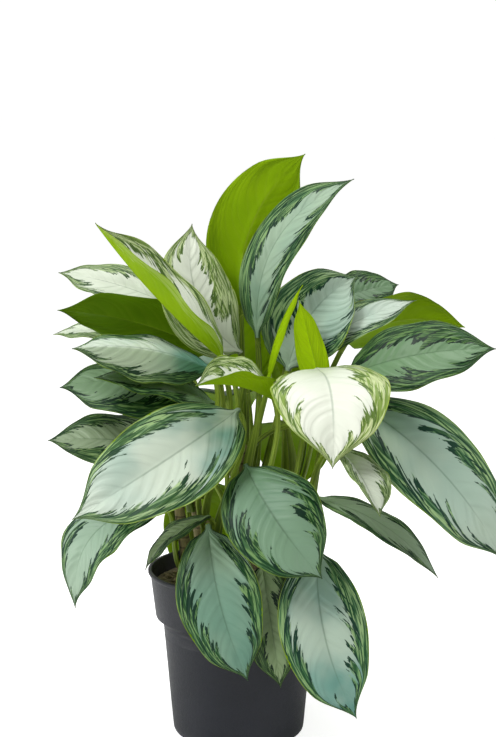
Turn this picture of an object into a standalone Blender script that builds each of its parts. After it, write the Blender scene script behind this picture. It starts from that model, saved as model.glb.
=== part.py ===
"""A potted Chinese evergreen: a nursery pot, its potting mix, its canes and the leaves that they carry.

Units are metres and +Z is up. The origin is the centre of the pot's underside, where it rests. The front of
the plant looks along -Y and its right-hand side is +X.
"""

import math
from dataclasses import dataclass

import bmesh
import bpy
from mathutils import Matrix, Vector, noise

# Gaps that keep neighbouring solids apart.
FIT_GAP = 0.0003

# Nursery pot: a tapered body, a deep collar at the top and a thin lip.
POT_HEIGHT = 0.176
POT_LIP_RADIUS = 0.095
POT_COLLAR_TOP_RADIUS = 0.0925
POT_COLLAR_FOOT_RADIUS = 0.0870
POT_SHOULDER_RADIUS = 0.0795
POT_FOOT_RADIUS = 0.0690
POT_BASE_RADIUS = 0.0665
POT_LIP_DEPTH = 0.006
POT_COLLAR_DEPTH = 0.050
POT_SHOULDER_DEPTH = 0.056
POT_FOOT_CHAMFER = 0.0040
POT_WALL = 0.0016
POT_FLOOR = 0.0022
POT_SIDES = 40
TURNED_SHARP_ANGLE = math.radians(30)
GROWN_SHARP_ANGLE = math.radians(50)
DRAIN_COUNT = 8
DRAIN_SIDES = 8
DRAIN_RADIUS = 0.005
DRAIN_CIRCLE_RADIUS = 0.047

# Potting mix, with an uneven top.
SOIL_TOP = POT_HEIGHT - 0.016
SOIL_ROUGHNESS = 0.0022
SOIL_LUMPS = 38.0
SOIL_RINGS = 6

# Canes: short upright stems that stand in the potting mix.
CANE_RADIUS = 0.0075
CANE_TOP_RADIUS = 0.0055
CANE_DEPTH = 0.030
CANE_FOOT_TAPER = 0.8
CANE_TOP_TAPER = 0.55
CANE_SIDES = 10

# Leaf stalks: flattened where they clasp the cane, round at the blade.
STALK_SEAT_HALF_WIDTH = 0.0055
STALK_SEAT_HALF_DEPTH = 0.0025
STALK_TOP_RADIUS = 0.0029
STALK_STEPS = 5
STALK_TAPER_END = 0.8
STALK_REACH = 0.38
STALK_LEAN = 0.30
STALK_STEP = 0.01

# Leaf blades: half-width profile and section.
BLADE_STEPS = 8
BLADE_HALF_DIVISIONS = 2
BLADE_THICKNESS = 0.0010
BLADE_TIP_HALF_WIDTH = 0.0005
BLADE_NECK = 0.08
PROFILE_TIP_START = 0.955
PROFILE_BELLY = 0.86
PROFILE_ROUNDNESS = 0.72
PROFILE_DRIP = 0.45
PROFILE_DRIP_START = 0.6
PROFILE_DRIP_END = 0.95
MIDRIB_DEPTH = 0.0030


@dataclass(frozen=True)
class Cane:
    """A cane's foot on the potting mix, its height above it and the way that it leans, in metres."""

    foot: tuple
    height: float
    lean: tuple


@dataclass(frozen=True)
class Leaf:
    """One leaf: where it sits on its cane, and how its blade lies. Lengths in metres, angles in degrees.

    cane, seat and heading: the cane's number, the seat's height above the potting mix, and the side of the
        cane that the seat is on, turned from +X towards +Y.
    base and tip: the ends of the blade's midrib.
    face: the way that the upper side looks.
    arch and sway: how far the midrib bows towards the upper side, and towards the right-hand half.
    fold and curl: how far the left and right halves rise from the midrib, and bend back by their margins.
    twist: how far the blade turns about its midrib between its base and its tip.
    """

    name: str
    cane: int
    seat: float
    heading: float
    base: tuple
    tip: tuple
    face: tuple
    width: float
    arch: float = 0.02
    sway: float = 0.0
    fold: tuple = (16, 16)
    curl: tuple = (30, 30)
    twist: float = 0.0


CANES = (
    Cane(foot=(-0.022, -0.034), height=0.080, lean=(-0.08, -0.10)),
    Cane(foot=(0.028, -0.036), height=0.085, lean=(0.10, -0.12)),
    Cane(foot=(-0.036, 0.028), height=0.110, lean=(-0.12, 0.06)),
    Cane(foot=(0.040, 0.028), height=0.110, lean=(0.12, 0.06)),
    Cane(foot=(0.004, -0.004), height=0.150, lean=(0.00, 0.02)),
    Cane(foot=(0.004, 0.046), height=0.110, lean=(0.02, 0.14)),
    Cane(foot=(-0.050, -0.008), height=0.090, lean=(-0.14, -0.02)),
    Cane(foot=(0.052, -0.006), height=0.085, lean=(0.14, -0.02)),
)

LEAVES = (
    # The crown, on the tallest cane.
    Leaf("leaf_crown_tall", 4, 0.130, 90, (0.002, 0.030, 0.450), (0.069, 0.030, 0.607), (0.0, 1.0, 0.1),
         0.086, arch=0.000, sway=0.022, fold=(10, 10), curl=(20, 20)),
    Leaf("leaf_crown_arching", 4, 0.110, 42, (0.020, 0.004, 0.420), (0.117, -0.016, 0.585), (-0.4, -0.7, 0.4),
         0.060, arch=0.018, sway=-0.030, fold=(15, 15)),
    Leaf("leaf_crown_left", 4, 0.115, 150, (0.002, 0.000, 0.405), (-0.047, 0.000, 0.538), (0.1, -0.9, 0.4),
         0.078, arch=0.012, sway=-0.024),
    Leaf("leaf_crown_edge", 4, 0.095, 235, (-0.012, -0.044, 0.405), (-0.140, -0.078, 0.547),
         (0.733, -0.137, 0.687), 0.078, arch=-0.006, fold=(45, 45), curl=(8, 8)),
    Leaf("leaf_new", 4, 0.138, 5, (0.089, -0.012, 0.354), (0.062, -0.022, 0.462), (-0.3, 0.9, 0.2),
         0.034, arch=0.000, fold=(30, 30)),
    Leaf("leaf_crown_rolled", 4, 0.120, 300, (0.032, -0.020, 0.382), (0.066, -0.008, 0.476),
         (0.8, 0.5, 0.0), 0.013, arch=-0.008, fold=(45, 45), curl=(0, 0)),
    Leaf("leaf_crown_silver", 4, 0.070, 20, (0.051, 0.010, 0.384), (0.124, 0.034, 0.480),
         (-0.2, -0.8, 0.55), 0.098, arch=0.010, sway=-0.012),
    # The left-hand side.
    Leaf("leaf_left_top", 2, 0.100, 170, (-0.061, 0.030, 0.445), (-0.187, 0.030, 0.484), (-0.1, -0.5, 0.85),
         0.065, arch=0.008),
    Leaf("leaf_left_green", 4, 0.065, 185, (-0.024, -0.005, 0.406), (-0.184, -0.020, 0.452), (0.1, 0.8, 0.6),
         0.078, arch=0.014),
    Leaf("leaf_left_slim", 6, 0.080, 130, (-0.093, 0.055, 0.414), (-0.196, 0.055, 0.415), (0.0, -0.2, 0.97),
         0.060, arch=0.006),
    Leaf("leaf_left_folded", 0, 0.070, 170, (-0.026, -0.030, 0.392), (-0.166, -0.066, 0.420),
         (-0.1, -0.2, 0.97), 0.070, arch=0.012, fold=(-45, 18), curl=(30, 30)),
    Leaf("leaf_left_under", 0, 0.045, 130, (-0.024, -0.020, 0.354), (-0.146, -0.042, 0.386),
         (-0.1, -0.3, 0.9), 0.065, arch=0.010),
    Leaf("leaf_left_shaded", 2, 0.070, 230, (-0.040, 0.010, 0.362), (-0.185, 0.000, 0.368),
         (0.0, -0.4, 0.9), 0.090, arch=0.012, fold=(-8, 16)),
    Leaf("leaf_left_lower", 6, 0.045, 150, (-0.072, 0.030, 0.300), (-0.200, 0.020, 0.308), (0.0, -0.6, 0.8),
         0.074, arch=0.006),
    Leaf("leaf_left_large", 0, 0.060, 300, (0.000, -0.055, 0.355), (-0.162, -0.140, 0.263),
         (-0.2, -0.85, 0.5), 0.108, arch=0.018, sway=-0.010),
    Leaf("leaf_left_hanging", 6, 0.020, 205, (-0.077, -0.020, 0.248), (-0.168, -0.050, 0.146),
         (-0.4, -0.6, 0.6), 0.072, arch=0.040, sway=0.012),
    Leaf("leaf_rim_left", 0, 0.036, 203, (-0.030, -0.068, 0.247), (-0.095, -0.066, 0.191), (-0.3, -0.2, 0.9),
         0.044, arch=0.012),
    # The front.
    Leaf("leaf_centre_curled", 1, 0.070, 200, (0.036, -0.056, 0.368), (-0.042, -0.098, 0.388),
         (-0.05, -0.27, 1.0), 0.066, arch=0.008, fold=(50, 50), curl=(15, 15)),
    Leaf("leaf_front_cream", 1, 0.065, 20, (0.080, -0.032, 0.392), (0.091, -0.165, 0.319),
         (0.0, -0.5, 0.85), 0.120, arch=0.030, sway=-0.006),
    Leaf("leaf_front_centre", 1, 0.042, 240, (0.008, -0.080, 0.303), (0.083, -0.140, 0.203),
         (-0.1, -0.8, 0.6), 0.100, arch=0.018, sway=0.008),
    Leaf("leaf_hanging_left", 0, 0.010, 255, (-0.030, -0.085, 0.242), (0.010, -0.120, 0.092),
         (-0.1, -0.95, 0.2), 0.086, arch=0.014, sway=0.006),
    Leaf("leaf_hanging_right", 1, 0.015, 330, (0.080, -0.080, 0.219), (0.119, -0.122, 0.053),
         (0.05, -0.95, 0.25), 0.090, arch=0.016, sway=0.014),
    Leaf("leaf_hanging_middle", 1, 0.010, 275, (0.024, -0.092, 0.206), (0.043, -0.112, 0.082),
         (0.0, -0.95, 0.2), 0.060, arch=0.004),
    # The right-hand side.
    Leaf("leaf_right_narrow", 3, 0.090, 300, (0.050, 0.030, 0.384), (0.186, 0.036, 0.454),
         (-0.2, -0.6, 0.75), 0.052, arch=0.014),
    Leaf("leaf_right_rear", 3, 0.100, 25, (0.092, 0.078, 0.442), (0.172, 0.100, 0.462), (0.0, -0.7, 0.7),
         0.056, arch=0.008),
    Leaf("leaf_right_green", 3, 0.075, 0, (0.113, 0.054, 0.405), (0.240, 0.058, 0.422), (0.1, 0.75, 0.65),
         0.084, arch=0.024),
    Leaf("leaf_right_dark", 7, 0.075, 30, (0.110, -0.010, 0.382), (0.260, -0.050, 0.417), (0.1, -0.75, 0.65),
         0.080, arch=0.016),
    Leaf("leaf_right_large", 7, 0.055, 330, (0.119, -0.030, 0.359), (0.268, -0.080, 0.205),
         (0.35, -0.75, 0.55), 0.110, arch=0.028),
    Leaf("leaf_right_small", 7, 0.035, 296, (0.098, -0.108, 0.328), (0.137, -0.172, 0.274), (0.3, -0.65, 0.7),
         0.066, arch=0.008, fold=(8, 55)),
    Leaf("leaf_right_low", 1, 0.030, 0, (0.080, -0.022, 0.256), (0.205, -0.056, 0.180), (0.35, -0.4, 0.85),
         0.048, arch=0.018),
    # The rear.
    Leaf("leaf_rear_high", 4, 0.090, 80, (0.008, 0.044, 0.360), (0.000, 0.082, 0.510),
         (0.0, 0.95, 0.25), 0.084, arch=0.008),
    Leaf("leaf_rear_straight", 5, 0.100, 68, (0.003, 0.094, 0.406), (0.006, 0.242, 0.414), (0.0, 0.1, 1.0),
         0.080, arch=0.022),
    Leaf("leaf_rear_right_high", 3, 0.085, 95, (0.062, 0.080, 0.406), (0.146, 0.198, 0.416), (0.1, 0.1, 1.0),
         0.078, arch=0.020),
    Leaf("leaf_rear_right_middle", 5, 0.080, 22, (0.031, 0.098, 0.398), (0.058, 0.146, 0.316),
         (0.1, 0.7, 0.7), 0.074, arch=0.008),
    Leaf("leaf_rear_right_low", 3, 0.025, 50, (0.080, 0.065, 0.315), (0.175, 0.170, 0.255), (0.4, 0.4, 0.8),
         0.086, arch=0.024),
    Leaf("leaf_rear_left_high", 5, 0.085, 176, (-0.021, 0.070, 0.372), (-0.058, 0.220, 0.368),
         (0.0, 0.15, 1.0), 0.080, arch=0.020),
    Leaf("leaf_rear_left_middle", 2, 0.080, 60, (-0.048, 0.060, 0.365), (-0.120, 0.200, 0.300),
         (-0.2, 0.4, 0.9), 0.086, arch=0.026),
    Leaf("leaf_rear_left_low", 2, 0.025, 130, (-0.068, 0.062, 0.285), (-0.155, 0.150, 0.220),
         (-0.4, 0.4, 0.8), 0.084, arch=0.024),
    Leaf("leaf_rear_middle", 5, 0.055, 107, (-0.013, 0.080, 0.343), (-0.030, 0.240, 0.261), (0.0, 0.4, 0.9),
         0.090, arch=0.026),
    Leaf("leaf_rear_low", 5, 0.043, 8, (0.044, 0.078, 0.316), (0.066, 0.175, 0.216), (0.1, 0.65, 0.75),
         0.090, arch=0.016),
    Leaf("leaf_rear_hanging_right", 5, 0.020, 70, (0.035, 0.090, 0.240), (0.050, 0.160, 0.080),
         (0.1, 0.9, 0.4), 0.086, arch=0.020),
    Leaf("leaf_rear_hanging_left", 5, 0.015, 130, (-0.030, 0.085, 0.250), (-0.050, 0.165, 0.100),
         (-0.1, 0.9, 0.4), 0.088, arch=0.020),
)


def smoothstep(low, high, value):
    """0 below low, 1 above high, and a smooth rise between them."""
    share = min(max((value - low) / (high - low), 0.0), 1.0)
    return share * share * (3.0 - 2.0 * share)


def clear_scene():
    """Removes everything that the startup file holds."""
    for obj in list(bpy.data.objects):
        bpy.data.objects.remove(obj, do_unlink=True)


def make_material(name, colour, roughness):
    """A plain material with one colour and one roughness."""
    material = bpy.data.materials.new(name)
    material.use_nodes = True
    shader = material.node_tree.nodes["Principled BSDF"]
    shader.inputs["Base Color"].default_value = (*colour, 1.0)
    shader.inputs["Roughness"].default_value = roughness
    return material


def add_object(name, mesh, material=None, sharp_angle=None):
    """Links a new object that holds the mesh, shaded smooth where sharp_angle is given."""
    obj = bpy.data.objects.new(name, mesh)
    bpy.context.scene.collection.objects.link(obj)
    if material is not None:
        mesh.materials.append(material)
    if sharp_angle is not None:
        mesh.shade_smooth()
        mesh.set_sharp_from_angle(angle=sharp_angle)
    return obj


def turned_mesh(name, profile, sides):
    """A solid of revolution about Z from (radius, height) points that run from the axis round to the axis."""
    shape = bmesh.new()
    points = [shape.verts.new((radius, 0.0, height)) for radius, height in profile]
    edges = [shape.edges.new(pair) for pair in zip(points, points[1:])]
    bmesh.ops.spin(
        shape, geom=points + edges, axis=(0, 0, 1), cent=(0, 0, 0), steps=sides, angle=math.tau
    )
    bmesh.ops.remove_doubles(shape, verts=shape.verts, dist=1e-5)
    bmesh.ops.recalc_face_normals(shape, faces=shape.faces)
    mesh = bpy.data.meshes.new(name)
    shape.to_mesh(mesh)
    shape.free()
    return mesh


def loft_mesh(name, rings):
    """A closed skin through rings of equally many points, with a flat cap at each end."""
    shape = bmesh.new()
    loops = [[shape.verts.new(point) for point in ring] for ring in rings]
    count = len(loops[0])
    for lower, upper in zip(loops, loops[1:]):
        for i in range(count):
            j = (i + 1) % count
            shape.faces.new((lower[i], lower[j], upper[j], upper[i]))
    shape.faces.new(loops[0])
    shape.faces.new(loops[-1])
    bmesh.ops.recalc_face_normals(shape, faces=shape.faces)
    mesh = bpy.data.meshes.new(name)
    shape.to_mesh(mesh)
    shape.free()
    return mesh


def pot_outer_profile():
    """The pot's outside, from the edge of its base up to its lip."""
    return [
        (POT_BASE_RADIUS, 0.0),
        (POT_FOOT_RADIUS, POT_FOOT_CHAMFER),
        (POT_SHOULDER_RADIUS, POT_HEIGHT - POT_SHOULDER_DEPTH),
        (POT_COLLAR_FOOT_RADIUS, POT_HEIGHT - POT_COLLAR_DEPTH),
        (POT_COLLAR_TOP_RADIUS, POT_HEIGHT - POT_LIP_DEPTH),
        (POT_LIP_RADIUS, POT_HEIGHT - POT_LIP_DEPTH / 2),
        (POT_LIP_RADIUS, POT_HEIGHT),
    ]


def pot_inner_profile():
    """The pot's inside, from the edge of its floor up to its lip."""
    return [
        (POT_BASE_RADIUS - POT_WALL, POT_FLOOR),
        (POT_FOOT_RADIUS - POT_WALL, POT_FLOOR + POT_FOOT_CHAMFER),
        (POT_SHOULDER_RADIUS - POT_WALL, POT_HEIGHT - POT_SHOULDER_DEPTH + POT_WALL),
        (POT_COLLAR_FOOT_RADIUS - POT_WALL, POT_HEIGHT - POT_COLLAR_DEPTH + POT_WALL),
        (POT_COLLAR_TOP_RADIUS - POT_WALL, POT_HEIGHT),
    ]


def inner_radius(height):
    """The pot's inside radius at a height."""
    profile = pot_inner_profile()
    for (low_radius, low), (high_radius, high) in zip(profile, profile[1:]):
        if height <= high:
            return low_radius + (high_radius - low_radius) * (height - low) / (high - low)
    return profile[-1][0]


def build_pot(material):
    """The nursery pot, with a ring of drain holes in its floor."""
    floor_top = [(0.0, POT_FLOOR)]
    profile = [(0.0, 0.0)] + pot_outer_profile() + pot_inner_profile()[::-1] + floor_top
    pot = add_object("pot", turned_mesh("pot", profile, POT_SIDES), material, TURNED_SHARP_ANGLE)
    cutters = bmesh.new()
    for i in range(DRAIN_COUNT):
        angle = math.tau * (i + 0.5) / DRAIN_COUNT
        place = (DRAIN_CIRCLE_RADIUS * math.cos(angle), DRAIN_CIRCLE_RADIUS * math.sin(angle), 0.0)
        bmesh.ops.create_cone(
            cutters, cap_ends=True, segments=DRAIN_SIDES, radius1=DRAIN_RADIUS, radius2=DRAIN_RADIUS,
            depth=4 * POT_FLOOR, matrix=Matrix.Translation(place),
        )
    mesh = bpy.data.meshes.new("drain_cutter")
    cutters.to_mesh(mesh)
    cutters.free()
    cut_with(pot, add_object("drain_cutter", mesh))
    return pot


def cut_with(obj, cutter):
    """Cuts the cutter's shape from obj, and hides the cutter."""
    cutter.hide_render = True
    cutter.display_type = "WIRE"
    cut = obj.modifiers.new("cut", "BOOLEAN")
    cut.operation = "DIFFERENCE"
    cut.object = cutter


def cane_axis(cane, height):
    """The point on a cane's centre line at a height above the potting mix."""
    x, y = cane.foot
    return Vector((x + cane.lean[0] * height, y + cane.lean[1] * height, SOIL_TOP + height))


def cane_radius(cane, height):
    """A cane's radius between its joints, at a height above the potting mix."""
    share = min(max(height / cane.height, 0.0), 1.0)
    return CANE_RADIUS + (CANE_TOP_RADIUS - CANE_RADIUS) * share


def ring_about(centre, radius, sides):
    """A level ring of points."""
    turns = [math.tau * i / sides for i in range(sides)]
    return [centre + Vector((radius * math.cos(turn), radius * math.sin(turn), 0.0)) for turn in turns]


def cane_rings(cane, grow=0.0):
    """Level rings up a cane, from its buried foot to its rounded top. grow makes each one larger."""
    neck = cane.height - CANE_TOP_RADIUS
    stations = (
        (-CANE_DEPTH - grow, CANE_RADIUS * CANE_FOOT_TAPER),
        (0.0, CANE_RADIUS),
        (neck, cane_radius(cane, neck)),
        (cane.height, CANE_TOP_RADIUS * CANE_TOP_TAPER),
    )
    return [ring_about(cane_axis(cane, height), radius + grow, CANE_SIDES) for height, radius in stations]


def build_canes(material):
    """Every cane, as its own object."""
    for number, cane in enumerate(CANES):
        name = f"cane_{number + 1}"
        add_object(name, loft_mesh(name, cane_rings(cane)), material, GROWN_SHARP_ANGLE)


def soil_height(x, y):
    """The potting mix's uneven top."""
    return SOIL_TOP + SOIL_ROUGHNESS * noise.noise(Vector((x, y, 0.0)) * SOIL_LUMPS)


def build_soil(material):
    """The potting mix, which fills the pot and has a socket for each cane."""
    inner = pot_inner_profile()
    wall = [(radius - FIT_GAP, height + FIT_GAP) for radius, height in inner[:-1]]
    top_radius = inner_radius(SOIL_TOP - SOIL_ROUGHNESS) - FIT_GAP
    surface = [
        (top_radius * (SOIL_RINGS - i) / SOIL_RINGS, SOIL_TOP) for i in range(SOIL_RINGS + 1)
    ]
    profile = [(0.0, POT_FLOOR + FIT_GAP)] + wall + surface
    mesh = turned_mesh("soil", profile, POT_SIDES)
    for vertex in mesh.vertices:
        if vertex.co.z > SOIL_TOP - FIT_GAP:
            vertex.co.z = soil_height(vertex.co.x, vertex.co.y)
    soil = add_object("soil", mesh, material, GROWN_SHARP_ANGLE)
    sockets = bmesh.new()
    for cane in CANES:
        part = loft_mesh("socket", cane_rings(cane, FIT_GAP))
        sockets.from_mesh(part)
        bpy.data.meshes.remove(part)
    socket_mesh = bpy.data.meshes.new("socket_cutter")
    sockets.to_mesh(socket_mesh)
    sockets.free()
    cut_with(soil, add_object("socket_cutter", socket_mesh))


def blade_profile(along):
    """A blade's half width at a share of its length, as a share of its greatest half width."""
    reach = min(along / PROFILE_TIP_START, 1.0)
    oval = max(math.sin(math.pi * reach**PROFILE_BELLY), 0.0) ** PROFILE_ROUNDNESS
    return oval + PROFILE_DRIP * (1.0 - along) * smoothstep(PROFILE_DRIP_START, PROFILE_DRIP_END, along)


def half_section(across, fold, curl):
    """(outward, upward) of a point across one half of a blade, in half widths, keeping the half's length."""
    rise, bend = math.radians(fold), math.radians(curl)
    if abs(bend) < 1e-3:
        return across * math.cos(rise), across * math.sin(rise)
    outward = (math.sin(rise) - math.sin(rise - bend * across)) / bend
    upward = (math.cos(rise - bend * across) - math.cos(rise)) / bend
    return outward, upward


class LeafShape:
    """The curves that a leaf is lofted along."""

    def __init__(self, leaf):
        self.leaf = leaf
        self.base = Vector(leaf.base)
        self.tip = Vector(leaf.tip)
        self.face = Vector(leaf.face).normalized()
        chord = (self.tip - self.base).normalized()
        right = chord.cross(self.face).normalized()
        up = right.cross(chord)
        middle = (self.base + self.tip) / 2
        self.control = middle + 2 * (leaf.arch * up + leaf.sway * right)
        self._place_seat()

    def _place_seat(self):
        leaf, cane = self.leaf, CANES[self.leaf.cane]
        axis = cane_axis(cane, leaf.seat)
        heading = math.radians(leaf.heading)
        self.outward = Vector((math.cos(heading), math.sin(heading), 0.0))
        clear = cane_radius(cane, leaf.seat) + FIT_GAP + STALK_SEAT_HALF_DEPTH
        self.seat = axis + self.outward * clear
        lean = Vector((cane.lean[0], cane.lean[1], 1.0)) + self.outward * STALK_LEAN
        self.start = lean.normalized()
        reach = (self.base - self.seat).length * STALK_REACH
        arriving = (self.base - self.seat - self.start * reach).normalized()
        self.arrive = (arriving + self.midrib_direction(0.0)).normalized()
        self.reach = reach

    def midrib(self, along):
        """A point on the midrib."""
        rest = 1.0 - along
        return rest * rest * self.base + 2 * rest * along * self.control + along * along * self.tip

    def midrib_direction(self, along):
        """The midrib's direction."""
        step = (1.0 - along) * (self.control - self.base) + along * (self.tip - self.control)
        return step.normalized()

    def blade_axes(self, along):
        """(right, up) across the blade, square to its midrib."""
        direction = self.midrib_direction(along)
        turned = Matrix.Rotation(math.radians(self.leaf.twist * along), 3, direction) @ self.face
        right = direction.cross(turned).normalized()
        return right, right.cross(direction)

    def stalk(self, share):
        """A point on the stalk's centre line, from its seat to the blade."""
        points = (
            self.seat,
            self.seat + self.start * self.reach,
            self.base - self.arrive * self.reach,
            self.base,
        )
        rest = 1.0 - share
        weights = (rest**3, 3 * rest**2 * share, 3 * rest * share**2, share**3)
        return sum((weight * point for weight, point in zip(weights, points)), Vector())

    def stalk_axes(self, share):
        """(right, up) across the stalk. Its upper side faces the cane at the seat, then follows the blade."""
        step = STALK_STEP
        direction = (self.stalk(min(share + step, 1.0)) - self.stalk(max(share - step, 0.0))).normalized()
        blade_up = self.blade_axes(0.0)[1]
        face = (-self.outward).lerp(blade_up, smoothstep(0.0, 1.0, share))
        right = direction.cross(face).normalized()
        return right, right.cross(direction)


def round_section(half_divisions, half_width, half_depth):
    """(right, up) points round a stalk, in the order of blade_section's."""
    count = 2 * half_divisions
    top = [math.pi * (1 - i / count) for i in range(count + 1)]
    bottom = [-math.pi * i / count for i in range(1, count)]
    return [(half_width * math.cos(turn), half_depth * math.sin(turn)) for turn in top + bottom]


def blade_section(leaf, along, half_divisions):
    """(right, up) points round a blade: its upper side from left to right, then its underside back."""
    half_width = max(leaf.width / 2 * blade_profile(along), BLADE_TIP_HALF_WIDTH)
    rib = MIDRIB_DEPTH * (1.0 - along) + BLADE_THICKNESS
    top, bottom = [], []
    for i in range(-half_divisions, half_divisions + 1):
        across = i / half_divisions
        side = 1 if across > 0 else 0
        outward, upward = half_section(abs(across), leaf.fold[side], leaf.curl[side])
        right = math.copysign(outward, across) * half_width
        up = upward * half_width
        top.append((right, up))
        depth = rib if i == 0 else BLADE_THICKNESS
        if abs(i) < half_divisions:
            bottom.append((right, up - min(depth, half_width)))
    return top + bottom[::-1]


def leaf_rings(leaf):
    """Rings of points from the leaf's seat, up its stalk and along its blade to the tip."""
    shape = LeafShape(leaf)
    rings = []
    for i in range(STALK_STEPS):
        share = i / STALK_STEPS
        right, up = shape.stalk_axes(share)
        ease = smoothstep(0.0, STALK_TAPER_END, share)
        half_width = STALK_SEAT_HALF_WIDTH + (STALK_TOP_RADIUS - STALK_SEAT_HALF_WIDTH) * ease
        half_depth = STALK_SEAT_HALF_DEPTH + (STALK_TOP_RADIUS - STALK_SEAT_HALF_DEPTH) * ease
        section = round_section(BLADE_HALF_DIVISIONS, half_width, half_depth)
        centre = shape.stalk(share)
        rings.append([centre + right * x + up * z for x, z in section])
    stalk_end = round_section(BLADE_HALF_DIVISIONS, STALK_TOP_RADIUS, STALK_TOP_RADIUS)
    for i in range(BLADE_STEPS + 1):
        along = 0.5 * (1.0 - math.cos(math.pi * i / BLADE_STEPS))
        right, up = shape.stalk_axes(1.0) if i == 0 else shape.blade_axes(along)
        opened = smoothstep(0.0, BLADE_NECK, along)
        section = [
            (x0 + (x1 - x0) * opened, z0 + (z1 - z0) * opened)
            for (x0, z0), (x1, z1) in zip(stalk_end, blade_section(leaf, along, BLADE_HALF_DIVISIONS))
        ]
        centre = shape.midrib(along)
        rings.append([centre + right * x + up * z for x, z in section])
    return rings


def build_leaves(material):
    """Every leaf, blade and stalk in one piece, as its own object."""
    for leaf in LEAVES:
        mesh = loft_mesh(leaf.name, leaf_rings(leaf))
        add_object(leaf.name, mesh, material, GROWN_SHARP_ANGLE)


def main():
    """Builds the pot, the potting mix, the canes and the leaves."""
    clear_scene()
    build_pot(make_material("pot_plastic", (0.045, 0.048, 0.055), 0.5))
    build_soil(make_material("potting_mix", (0.09, 0.055, 0.035), 0.95))
    build_canes(make_material("cane_green", (0.20, 0.30, 0.08), 0.5))
    build_leaves(make_material("leaf_green", (0.30, 0.42, 0.28), 0.4))


main()
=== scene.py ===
"""The looks of a potted Chinese evergreen: silver feathered leaves on short canes in a grey nursery pot.

Lengths are in metres and angles in degrees. +Z is up, the plant's front looks along -Y, and the origin is
the centre of the pot's underside. Each leaf is swept once, stalk and blade together, along the same curves
as its solid in the frame.
"""

from __future__ import annotations

import logging
import math
import random
from dataclasses import dataclass, field
from enum import Enum

import bmesh
import bpy
import numpy as np
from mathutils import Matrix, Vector, noise


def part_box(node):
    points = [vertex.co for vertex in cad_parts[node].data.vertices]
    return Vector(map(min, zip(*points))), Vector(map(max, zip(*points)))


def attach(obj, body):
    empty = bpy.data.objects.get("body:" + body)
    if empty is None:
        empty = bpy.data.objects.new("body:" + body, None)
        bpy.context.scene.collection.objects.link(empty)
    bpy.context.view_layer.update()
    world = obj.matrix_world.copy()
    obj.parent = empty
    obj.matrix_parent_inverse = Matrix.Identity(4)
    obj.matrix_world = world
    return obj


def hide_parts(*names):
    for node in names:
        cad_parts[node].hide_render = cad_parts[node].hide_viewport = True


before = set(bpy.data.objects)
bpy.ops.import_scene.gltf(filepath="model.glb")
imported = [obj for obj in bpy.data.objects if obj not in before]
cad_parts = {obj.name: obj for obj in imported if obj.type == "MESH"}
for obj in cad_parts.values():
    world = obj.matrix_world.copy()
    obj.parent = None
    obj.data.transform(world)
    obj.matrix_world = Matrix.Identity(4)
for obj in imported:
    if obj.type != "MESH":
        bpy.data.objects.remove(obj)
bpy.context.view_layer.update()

LOG = logging.getLogger("evergreen")
BODY = "root"

Point = tuple[float, float, float]
Colour = tuple[float, float, float]
Socket = bpy.types.NodeSocket
Feed = bpy.types.NodeSocket | float | Colour

# How far a blade's side veins slant towards its tip, and how much further they bend by the margin.
VEIN_SLANT = 0.22
VEIN_BEND = 0.34
VEIN_BEND_POWER = 4

WHITE = (1.0, 1.0, 1.0, 1.0)


def tint(red: int, green: int, blue: int) -> Colour:
    """A display colour as the linear colour that a shader takes.

    Args:
        red: Its red, from 0 to 255.
        green: Its green.
        blue: Its blue.

    Returns:
        The linear colour, from 0 to 1 a channel.
    """

    def linear(channel: int) -> float:
        """One channel's linear value."""
        share = channel / 255
        return share / 12.92 if share <= 0.04045 else ((share + 0.055) / 1.055) ** 2.4

    return linear(red), linear(green), linear(blue)


def smooth(low: float, high: float, value: np.ndarray | float) -> np.ndarray:
    """A smooth rise from 0 at low to 1 at high.

    Args:
        low: The value where the rise starts.
        high: The value where it ends.
        value: The values to read it at.

    Returns:
        The rise at each value.
    """
    share = np.clip((np.asarray(value, float) - low) / (high - low), 0.0, 1.0)
    return share * share * (3.0 - 2.0 * share)


def unit(vectors: np.ndarray) -> np.ndarray:
    """The vectors, each made one metre long."""
    return vectors / np.linalg.norm(vectors, axis=-1, keepdims=True)


class Slot(Enum):
    """The material slots that the record names."""

    POT = "pot_plastic"
    MIX = "potting_mix"
    CANE = "cane"
    LEAF = "leaf"
    YOUNG = "leaf_young"


# ---------------------------------------------------------------- shader building


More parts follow.
